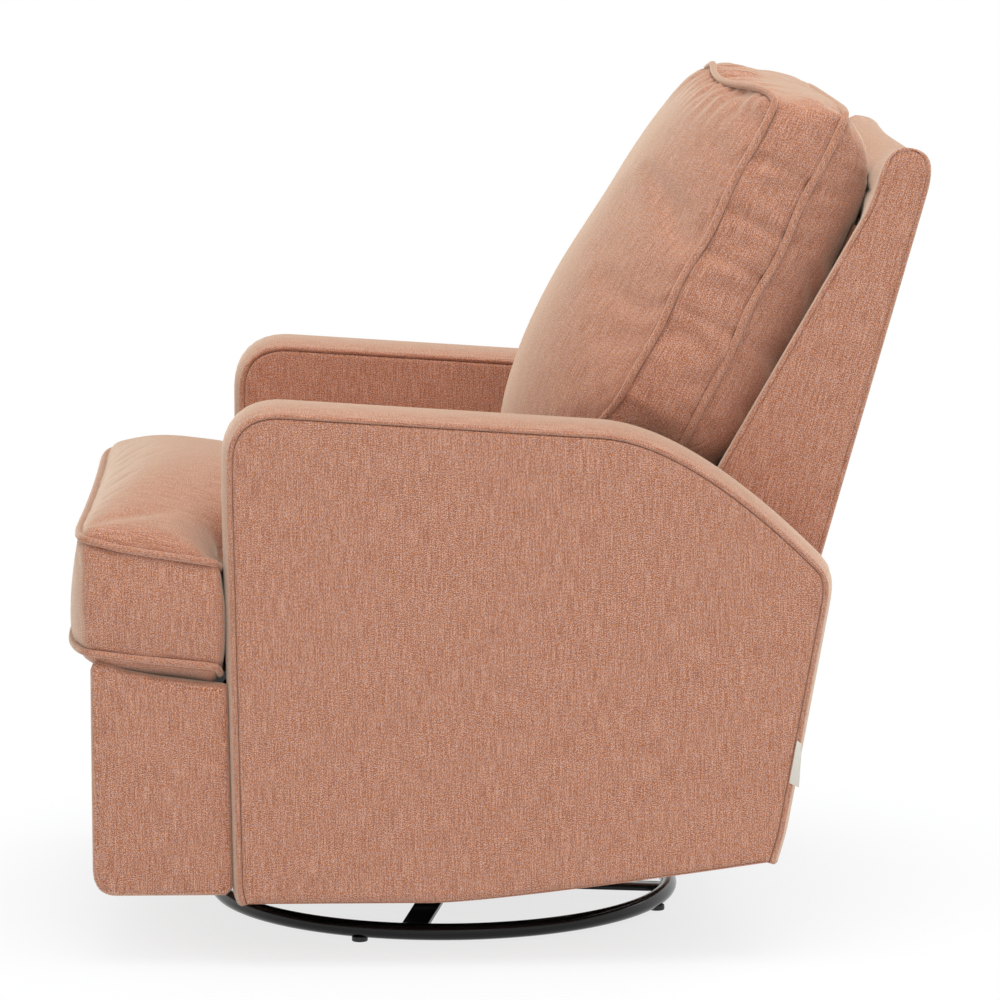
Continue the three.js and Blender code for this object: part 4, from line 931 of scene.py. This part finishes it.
REST_SIDE_BLEND, REST_REAR_BLEND = (REST_HALF - 70, REST_HALF - 8), (REST_REAR - 25, REST_REAR)
REST_EDGE_STEPS = np.array([1.0, 2.5, 4.5, 6.5])
REST_GRID, REST_DEEP_GRID = 9.0, 6


def from_cells(name, xs, ys, zs, solid, shape, lean=0.0):
    """A closed mesh round a grid's solid cells, moved by a rule. Its sides' threads may lean."""
    filled = np.zeros((len(xs) + 1, len(ys) + 1, len(zs) + 1), bool)
    middles = ((a[1:] + a[:-1]) / 2 for a in (xs, ys, zs))
    filled[1:-1, 1:-1, 1:-1] = solid(*np.meshgrid(*middles, indexing="ij"))
    points = placed(shape(np.stack(np.meshgrid(xs, ys, zs, indexing="ij"), axis=-1)))
    bm = bmesh.new()
    bm.loops.layers.uv.new("cloth")
    verts = {}
    for axis in range(3):
        others = [k for k in range(3) if k != axis]
        uv = turned(points[..., others], 0 if axis else lean)
        for cell in np.argwhere(np.diff(filled.astype(int), axis=axis) != 0):
            cell[others] -= 1
            keys = []
            for corner in ((0, 0), (1, 0), (1, 1), (0, 1)):
                key = cell.copy()
                key[others] += corner
                keys.append(tuple(key))
                if keys[-1] not in verts:
                    verts[keys[-1]] = bm.verts.new(points[keys[-1]])
            add_face(bm, [verts[key] for key in keys], [uv[key] for key in keys])
    return to_piece(name, bm)


def rest_solid(x, y, z):
    """Which cells of the footrest's box are foam or board, in the level box."""
    front = y < REST_FRONT + REST_WALLS["front"]
    low = z < REST_BOTTOM + REST_WALLS["bottom"]
    high = (z > REST_TOP_FRONT - REST_WALLS["top"]) & (y < REST_MOUTH)
    slots = (abs(x) > REST_SLOT_IN) & (abs(x) < REST_SLOT_OUT) & (y > REST_SLOT_FRONT)
    return (abs(x) > REST_CHEEK) | front | low | (high & ~slots)


def rounded_box(points, axes, low, high, radius_low, radius_high):
    """Rounds a box's edges in the plane of two axes, as foam rounds under cloth."""
    inner = np.clip(points[..., axes], low + radius_low, high - radius_high)
    away = points[..., axes] - inner
    radius = np.where(away < 0, radius_low, radius_high)
    away = away / radius
    length = np.linalg.norm(away, axis=-1, keepdims=True)
    widest = abs(away).max(axis=-1, keepdims=True)
    rounded = points.copy()
    rounded[..., axes] = inner + away * widest / np.maximum(length, 1e-9) * radius
    return rounded


def swollen(value, low, high):
    """A face's swell: 1 in the middle, 0 at its two edges."""
    return dome(2 * (value - low) / (high - low) - 1, BULGE_POWER)


def rest_shape(points):
    """Rounds the box's outer edges, slopes its top and lets its faces swell."""
    x, y, z = (points[..., k] for k in range(3))
    low, high = np.array([REST_FRONT, REST_BOTTOM]), np.array([REST_REAR, REST_TOP_FRONT])
    rear = np.stack([np.full_like(y, REST_REAR_ROUND),
                     np.where(y > REST_MOUTH, REST_REAR_ROUND, REST_TOP_ROUND)], axis=-1)
    rounded = rounded_box(points, [1, 2], low, high, np.array([REST_ROUND, REST_ROUND]), rear)
    depth = np.minimum(rounded[..., 1:] - low, high - rounded[..., 1:]).min(axis=-1)
    near_side = np.clip((abs(x) - REST_HALF + REST_SIDE_ROUND) / REST_SIDE_ROUND, 0, 1)
    sunk = REST_SIDE_ROUND * (1 - np.sqrt(1 - near_side ** 2 * ROUND_SHARE))
    middle, half = (low + high) / 2, (high - low) / 2
    shrink = 1 - sunk[..., None] / half * (1 - smooth(depth, 0, 2 * REST_SIDE_ROUND))[..., None]
    rounded[..., 1:] = middle + (rounded[..., 1:] - middle) * shrink
    swell_x = swollen(x, -REST_HALF, REST_HALF)
    swell_y = swollen(y, REST_FRONT, REST_REAR)
    swell_z = swollen(z, REST_BOTTOM, REST_TOP_FRONT)
    rounded[..., 1] -= REST_BULGE * swell_x * swell_z * (y < REST_FRONT + 1)
    reach = np.interp(abs(x), *REST_CHEEK_REACH, left=0)
    reach = reach + ARM_KNEE_SLOPE * (ARM_KNEE - z) * (abs(x) > REST_CHEEK - 1)
    rounded[..., 1] += reach * smooth(y, *REST_REAR_BLEND)
    rounded[..., 0] += REST_BULGE * swell_y * swell_z * np.sign(x) * (abs(x) > REST_HALF - 1)
    rise = np.interp(y, *REST_SIDE_RISE) * smooth(abs(x), *REST_SIDE_BLEND)
    top = np.interp(y, (REST_FRONT, REST_REAR), (REST_TOP_FRONT, REST_TOP_REAR))
    slope = top - REST_TOP_FRONT
    rounded[..., 2] -= REST_SAG * (1 - smooth(z, *REST_LOW_BLEND))
    rounded[..., 2] += (slope + rise) * smooth(z, *REST_HIGH_BLEND)
    return rounded


rest_xs = spaced(mirrored(REST_SLOT_IN, REST_SLOT_OUT, REST_CHEEK, REST_HALF), REST_GRID)
rest_xs = np.unique([*rest_xs, *mirrored(*(REST_HALF - REST_EDGE_STEPS))])
rest_ys = spaced([REST_FRONT, REST_FRONT + REST_WALLS["front"],
                  REST_SLOT_FRONT, REST_MOUTH, REST_REAR], REST_DEEP_GRID)
rest_zs = spaced([REST_BOTTOM, REST_BOTTOM + REST_WALLS["bottom"],
                  REST_TOP_FRONT - REST_WALLS["top"], REST_TOP_FRONT], REST_GRID)
footrest = from_cells("footrest_fabric", rest_xs, rest_ys, rest_zs, rest_solid, rest_shape)
dress(footrest, "footrest", "footrest_cover")

# %% [markdown]
# The outside back is a hollow wedge: two side panels, a rear panel that runs
# up and over the top, and a front face behind the cushion, open below it. In
# the side view it lies between a rear curve and a front curve, so the same
# bricks are laid in a space of three numbers: across the chair, from the rear
# curve to the front one, and along the curves. A seam runs 6 mm inside the
# edge of each side panel, and the front face is drawn in between the cheeks,
# where the cushion presses on it.

# %% Back shell
SHELL_HALF, SHELL_CHEEK, SHELL_PEAK = 265.0, 18.0, 893.5
SHELL_WALL, SHELL_ROOF, SHELL_ROUND = 14.0, 24.0, 6.0
SHELL_ROWS, SHELL_HOLLOW_STEPS, SHELL_GRID = 110, 8, 10
SHELL_STEPS = np.array([0, 1.2, 2.6, 4.2, 5.2, 6.0, 6.8, 7.8, 10.0, SHELL_WALL])
SHELL_EDGE_STEPS = np.array([0, 1.2, 2.6, 4.2, 6.5, 10, 14])
SHELL_SEAM_AT, SHELL_SEAM_DEPTH, SHELL_SEAM_WIDTH, PEAK_MARGIN = 6.0, 2.6, 0.9, 1.0
SHELL_DIP, SHELL_DIP_FROM, SHELL_DIP_TO = 8.0, 835.0, 893
FACE_FROM, FACE_SEAM, FACE_STITCH, FACE_STITCH_WIDTH = 545.0, 846.0, 4.0, 4
FACE_RECESS, FACE_BULGE, FACE_POWER = 16.0, 9.0, 4
RECESS_END = (FACE_SEAM - 40, FACE_SEAM - 4)
BULGE_START, BULGE_END = (FACE_SEAM + 1, FACE_SEAM + 16), (878, 893)
WALL_SHARE, LEAST_ROOM = 0.45, 8
SHELL_THREAD_LEAN = math.radians(15.7)
HOLLOW = SHELL_WALL + SHELL_HOLLOW_STEPS

shell_rear = drawn(SHELL_ROWS, [(361, 240)], bezier((531, 846), (537, 872), (531, 882), 9),
                   bezier((531, 882), (524, 893), (506, 893.5), 9)[1:])
shell_front = drawn(SHELL_ROWS, [(338, 240), (298, 330), (240, 430), (305, 545)],
                    bezier((463, 822), (471, 840), (477, 862), 7),
                    bezier((477, 862), (484, 889), (500, 893), 7)[1:])


def shell_shape(points):
    """Side view place of each brick corner, with the side edges rounded."""
    x, depth, row = (points[..., k] for k in range(3))
    i = np.rint(row).astype(int)
    rear, front = shell_rear[i], shell_front[i]
    reach = np.linalg.norm(front - rear, axis=-1)
    wall = np.minimum(SHELL_WALL, reach * WALL_SHARE)
    scale = wall / SHELL_WALL
    share = np.clip((depth - SHELL_WALL) / SHELL_HOLLOW_STEPS, 0, 1)
    inside = np.minimum(depth, SHELL_WALL) * scale + share * (reach - 2 * wall)
    inside = inside + np.maximum(depth - HOLLOW, 0) * scale
    across = np.clip(dome(x / (SHELL_HALF - SHELL_CHEEK), FACE_POWER), 0, 1)
    height = (rear + front)[..., 1] / 2
    room = np.maximum(reach - 2 * wall - LEAST_ROOM, 0)
    recess = np.minimum(FACE_RECESS * (1 - smooth(height, *RECESS_END)), room)
    bulge = FACE_BULGE * smooth(height, *BULGE_START) * (1 - smooth(height, *BULGE_END))
    drawn_in = (recess - bulge) * across
    stitched = FACE_STITCH * bell(height - FACE_SEAM, FACE_STITCH_WIDTH) * across
    inside = inside - (drawn_in + stitched) * smooth(depth, SHELL_WALL, HOLLOW)
    edge = SHELL_HALF - abs(x)
    for near, sign in ((inside, 1), (reach - inside, -1)):
        a, b = 1 - edge / SHELL_ROUND, 1 - near / SHELL_ROUND
        both = (a > 0) & (b > 0)
        a, b = np.where(both, a, 0), np.where(both, b, 0)
        keep = np.where(both, np.maximum(a, b) / np.maximum(np.hypot(a, b), 1e-9), 1)
        edge = edge + a * (1 - keep) * SHELL_ROUND
        inside = inside + sign * b * (1 - keep) * SHELL_ROUND
    from_edge = np.minimum(np.minimum(inside, reach - inside), (SHELL_PEAK - height) + PEAK_MARGIN)
    groove = SHELL_SEAM_DEPTH * bell(from_edge - SHELL_SEAM_AT, SHELL_SEAM_WIDTH)
    edge = edge + groove * (edge < SHELL_CHEEK / 3)
    side = rear + (front - rear) / np.maximum(reach, 1e-9)[..., None] * inside[..., None]
    dip = SHELL_DIP * np.clip(dome(x / SHELL_HALF, FACE_POWER), 0, 1)
    dip = dip * smooth(side[..., 1], SHELL_DIP_FROM, SHELL_DIP_TO)
    return np.stack([np.sign(x) * (SHELL_HALF - edge), side[..., 0], side[..., 1] - dip], axis=-1)


def shell_solid(x, depth, row):
    """Cheeks, rear wall, roof and front face are solid, and the rest is open."""
    i = np.clip(row, 0, SHELL_ROWS - 1).astype(int)
    roof = shell_rear[i][..., 1] > shell_rear[:, 1].max() - SHELL_ROOF
    face = (depth > HOLLOW) & (shell_front[i][..., 1] > FACE_FROM)
    return (abs(x) > SHELL_HALF - SHELL_CHEEK) | (depth < SHELL_WALL) | roof | face


shell_xs = spaced(mirrored(SHELL_HALF - SHELL_CHEEK), SHELL_GRID)
shell_xs = np.unique([*shell_xs, *mirrored(*(SHELL_HALF - SHELL_EDGE_STEPS))])
shell_depths = np.concatenate([SHELL_STEPS, SHELL_WALL + np.arange(1, SHELL_HOLLOW_STEPS),
                               HOLLOW + SHELL_WALL - SHELL_STEPS[::-1]])
shell = from_cells("back_shell_fabric", shell_xs, shell_depths, np.arange(SHELL_ROWS, dtype=float),
                   shell_solid, shell_shape, lean=SHELL_THREAD_LEAN)
dress(shell, "back", "back_shell")

# %% [markdown]
# Below the back, a narrow upholstered apron closes the space between the
# arms. It hangs in the slope of the arms' rear edges.

# %% Rear apron
APRON_HALF, APRON_LOW, APRON_HIGH = 269.5, 122.0, 228.0
APRON_THICKNESS, APRON_PINCH, APRON_EDGE = 10.0, 2.5, 5
APRON_SLOPE, APRON_INSET, APRON_GRID, APRON_DEEP_GRID = ((116, 402), (355, 406)), 4, 10, 3.5
APRON_ROWS = [APRON_LOW, 123.5, 126, 130, *range(138, 222, 8), 222, 225, 227, APRON_HIGH]


def apron_shape(points):
    """Leans the flat strip as the arms' rear edges lean, and rounds its long edges."""
    x, depth, z = (points[..., k] for k in range(3))
    rear = np.interp(z, *APRON_SLOPE) - APRON_INSET
    pinch = APRON_PINCH * (1 - smooth(np.minimum(z - APRON_LOW, APRON_HIGH - z), 0, APRON_EDGE))
    middle = APRON_THICKNESS / 2
    depth = middle + (depth - middle) * (1 - pinch / middle)
    return np.stack([x, rear - APRON_THICKNESS + depth, z], axis=-1)


apron = from_cells("rear_apron_fabric", spaced(mirrored(APRON_HALF), APRON_GRID),
                   spaced([0, APRON_THICKNESS], APRON_DEEP_GRID), np.array(APRON_ROWS),
                   lambda x, y, z: np.ones(x.shape, bool), apron_shape)
dress(apron, "seat_frame", "rear_apron")

# %% [markdown]
# Hard materials: gloss enamel on the ring, duller powder coat on the pressed
# plates, zinc on the links, oiled spring wire, sawn plywood with its layers,
# moulded black plastic, and the jute webbing and the ribbon of the tag. The
# grain of each is drawn at its real size, or as coarse as it needs to show.

# %% Hard materials
PLY_GRAIN, PLY_COLOURS = (400, 14, 160), [(0.3, "#b8945f"), (0.7, "#d6b98a")]
WEAR, GRAIN_HEIGHT = 0.15, 0.0004


def make_paint(name, colour, roughness, metal=0.0, grain_mm=0.0, grain=0.0, **more):
    """A hard finish with an optional fine grain in its height and its shine."""
    material, tree, shader = new_material(name)
    feed(shader, Base_Color=linear(colour), Roughness=roughness, Metallic=metal, **more)
    if grain:
        speckle = node(tree, "TexNoise", Vector=own_place(tree), Scale=1000 / grain_mm, Detail=2.0)
        speckle = speckle.outputs["Fac"]
        bump = node(tree, "Bump", Height=speckle, Strength=grain, Distance=GRAIN_HEIGHT)
        wear = node(tree, "MapRange", Value=speckle,
                    To_Min=roughness * (1 - WEAR), To_Max=min(1.0, roughness * (1 + WEAR)))
        feed(shader, Normal=bump.outputs[0], Roughness=wear.outputs[0])
    return material


PAINTS.update(
    black_enamel=make_paint("gloss_black_stove_enamel", "#0b0b0c", 0.16,
                            Coat_Weight=0.12, Specular_IOR_Level=0.25),
    black_plate=make_paint("black_powder_coated_steel", "#1d1e20", 0.5, 0.0, 1.2, 0.35),
    zinc_steel=make_paint("bright_zinc_plated_steel", "#a9adb0", 0.32, 1.0, 3.0, 0.1),
    spring_steel=make_paint("oiled_spring_wire", "#4e5154", 0.4, 1.0, 2.0, 0.1),
    black_plastic=make_paint("moulded_black_plastic", "#17181a", 0.42, 0.0, 0.9, 0.25),
    webbing_cloth=make_paint("woven_jute_webbing", "#86604a", 0.95, 0.0, 1.6, 0.8),
    tag_cloth=make_paint("satin_ribbon_tag", "#d8d2c6", 0.6, 0.0, 0.8, 0.3),
)
PAINTS["plywood"], tree, shader = new_material("sawn_birch_plywood")
stretch = node(tree, "Mapping", Vector=own_place(tree), Scale=PLY_GRAIN)
grain = node(tree, "TexNoise", Vector=stretch.outputs[0], Scale=1.0, Detail=4.0)
feed(shader, Base_Color=ramp(tree, grain.outputs["Fac"], PLY_COLOURS), Roughness=0.75)
print("finishes:", list(PAINTS))

# %% [markdown]
# The base is a steel tube bent to a ring, with two flat bars welded across
# it, all in gloss black enamel, and four small plastic glides under it. A
# torus and two bevelled blocks give the smooth highlights that a coarse ring
# would break. The ring is drawn as wide as the photograph shows it.

# %% Base ring, cross bars and feet
RING_RADIUS, RING_TUBE, RING_HEIGHT = 0.264, 0.0095, 0.014
BAR_HALF, BAR_TURN, BAR_EDGE = (0.2555, 0.015, 0.003), math.radians(-9), 0.0012
FOOT_TURN, FOOT_RADIUS, FOOT_HEIGHT, FOOT_EDGE = math.radians(68), 0.009, 0.006, 0.001
SHARP = math.radians(40)


def take(name):
    """The object that the last operator made, at the origin and under its own name."""
    made = bpy.context.object
    made.name = name
    made.data.name = name
    select_only(made)
    bpy.ops.object.transform_apply(location=True, rotation=True, scale=True)
    return made


def bevelled(piece, width, segments=3):
    """Rounds a piece's sharp edges by a width in metres."""
    modify(piece, "BEVEL", width=width, segments=segments, limit_method="ANGLE")
    bpy.ops.object.shade_smooth_by_angle(angle=SHARP)
    return piece


bpy.ops.mesh.primitive_torus_add(
    location=(0, SWIVEL[1], RING_HEIGHT), major_radius=RING_RADIUS, minor_radius=RING_TUBE,
    major_segments=144, minor_segments=20,
)
ring = take("base_ring_tube")
bpy.ops.object.shade_smooth()
dress(ring, "base", "base_ring", slot="black_enamel")

bars = []
for k, name in enumerate(("base_cross_bars", "base_second_bar")):
    bpy.ops.mesh.primitive_cube_add(size=2, location=(0, SWIVEL[1], RING_HEIGHT),
                                    rotation=(0, 0, BAR_TURN + k * math.pi / 2))
    bpy.context.object.scale = BAR_HALF
    bars.append(bevelled(take(name), BAR_EDGE))
select_only(*bars)
bpy.ops.object.join()
dress(bars[0], "base", "base_cross", slot="black_enamel")

for k in range(4):
    turn = FOOT_TURN + k * math.pi / 2
    spot = (RING_RADIUS * math.cos(turn), SWIVEL[1] + RING_RADIUS * math.sin(turn), FOOT_HEIGHT / 2)
    bpy.ops.mesh.primitive_cylinder_add(vertices=40, radius=FOOT_RADIUS, depth=FOOT_HEIGHT,
                                        location=spot)
    foot = bevelled(take(f"glide_foot_{k + 1}_pad"), FOOT_EDGE)
    dress(foot, "base", f"glide_foot_{k + 1}", slot="black_plastic")

# %% [markdown]
# A folded ribbon tag, left bare, is caught in the rear seam of the left arm. It
# follows the slant of the seam, and its free edge stands off the cloth a
# little. A cube with its corners moved is all that it takes.

# %% Tag
TAG_SEAM_X, TAG_FREE_X, TAG_PLY, TAG_EDGE = 375.2, 377.0, 1.2, 0.0003
TAG_CORNERS = {(-1, 1): (380.5, 252.2), (1, 1): (385.9, 248.2),
               (-1, -1): (372.3, 204.8), (1, -1): (382.9, 200.0)}

bpy.ops.mesh.primitive_cube_add(size=2)
tag = take("sewn_tag")
for vertex in tag.data.vertices:
    thick, across, upright = (round(c) for c in vertex.co)
    x = (TAG_FREE_X if across > 0 else TAG_SEAM_X) + (TAG_PLY if thick > 0 else 0)
    vertex.co = placed([x, *TAG_CORNERS[across, upright]])
bevelled(tag, TAG_EDGE, segments=2)
dress(tag, "seat_frame", "label_tag", slot="tag_cloth")

# %% [markdown]
# The solids that stay in view, such as links, rails and springs, get the
# finish that the frame's own record names for them.

# %% The frame's own nodes
slot_of = {part["node"]: part["material_slot"] for part in frame["record"]["subparts"]}
for name, cad_node in frame["nodes"].items():
    cad_node.data.materials.clear()
    cad_node.data.materials.append(PAINTS[slot_of[name]])
print("painted", len(frame["nodes"]), "nodes in", len(set(slot_of.values())), "finishes")

# %% [markdown]
# Last, the dressed chair is measured against the frame's own box.

# %% Measure and finish
look_low, look_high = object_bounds()
growth = (look_high - look_low) - (cad_high - cad_low)
print("grown by", [round(side / MM, 1) for side in growth], "mm")
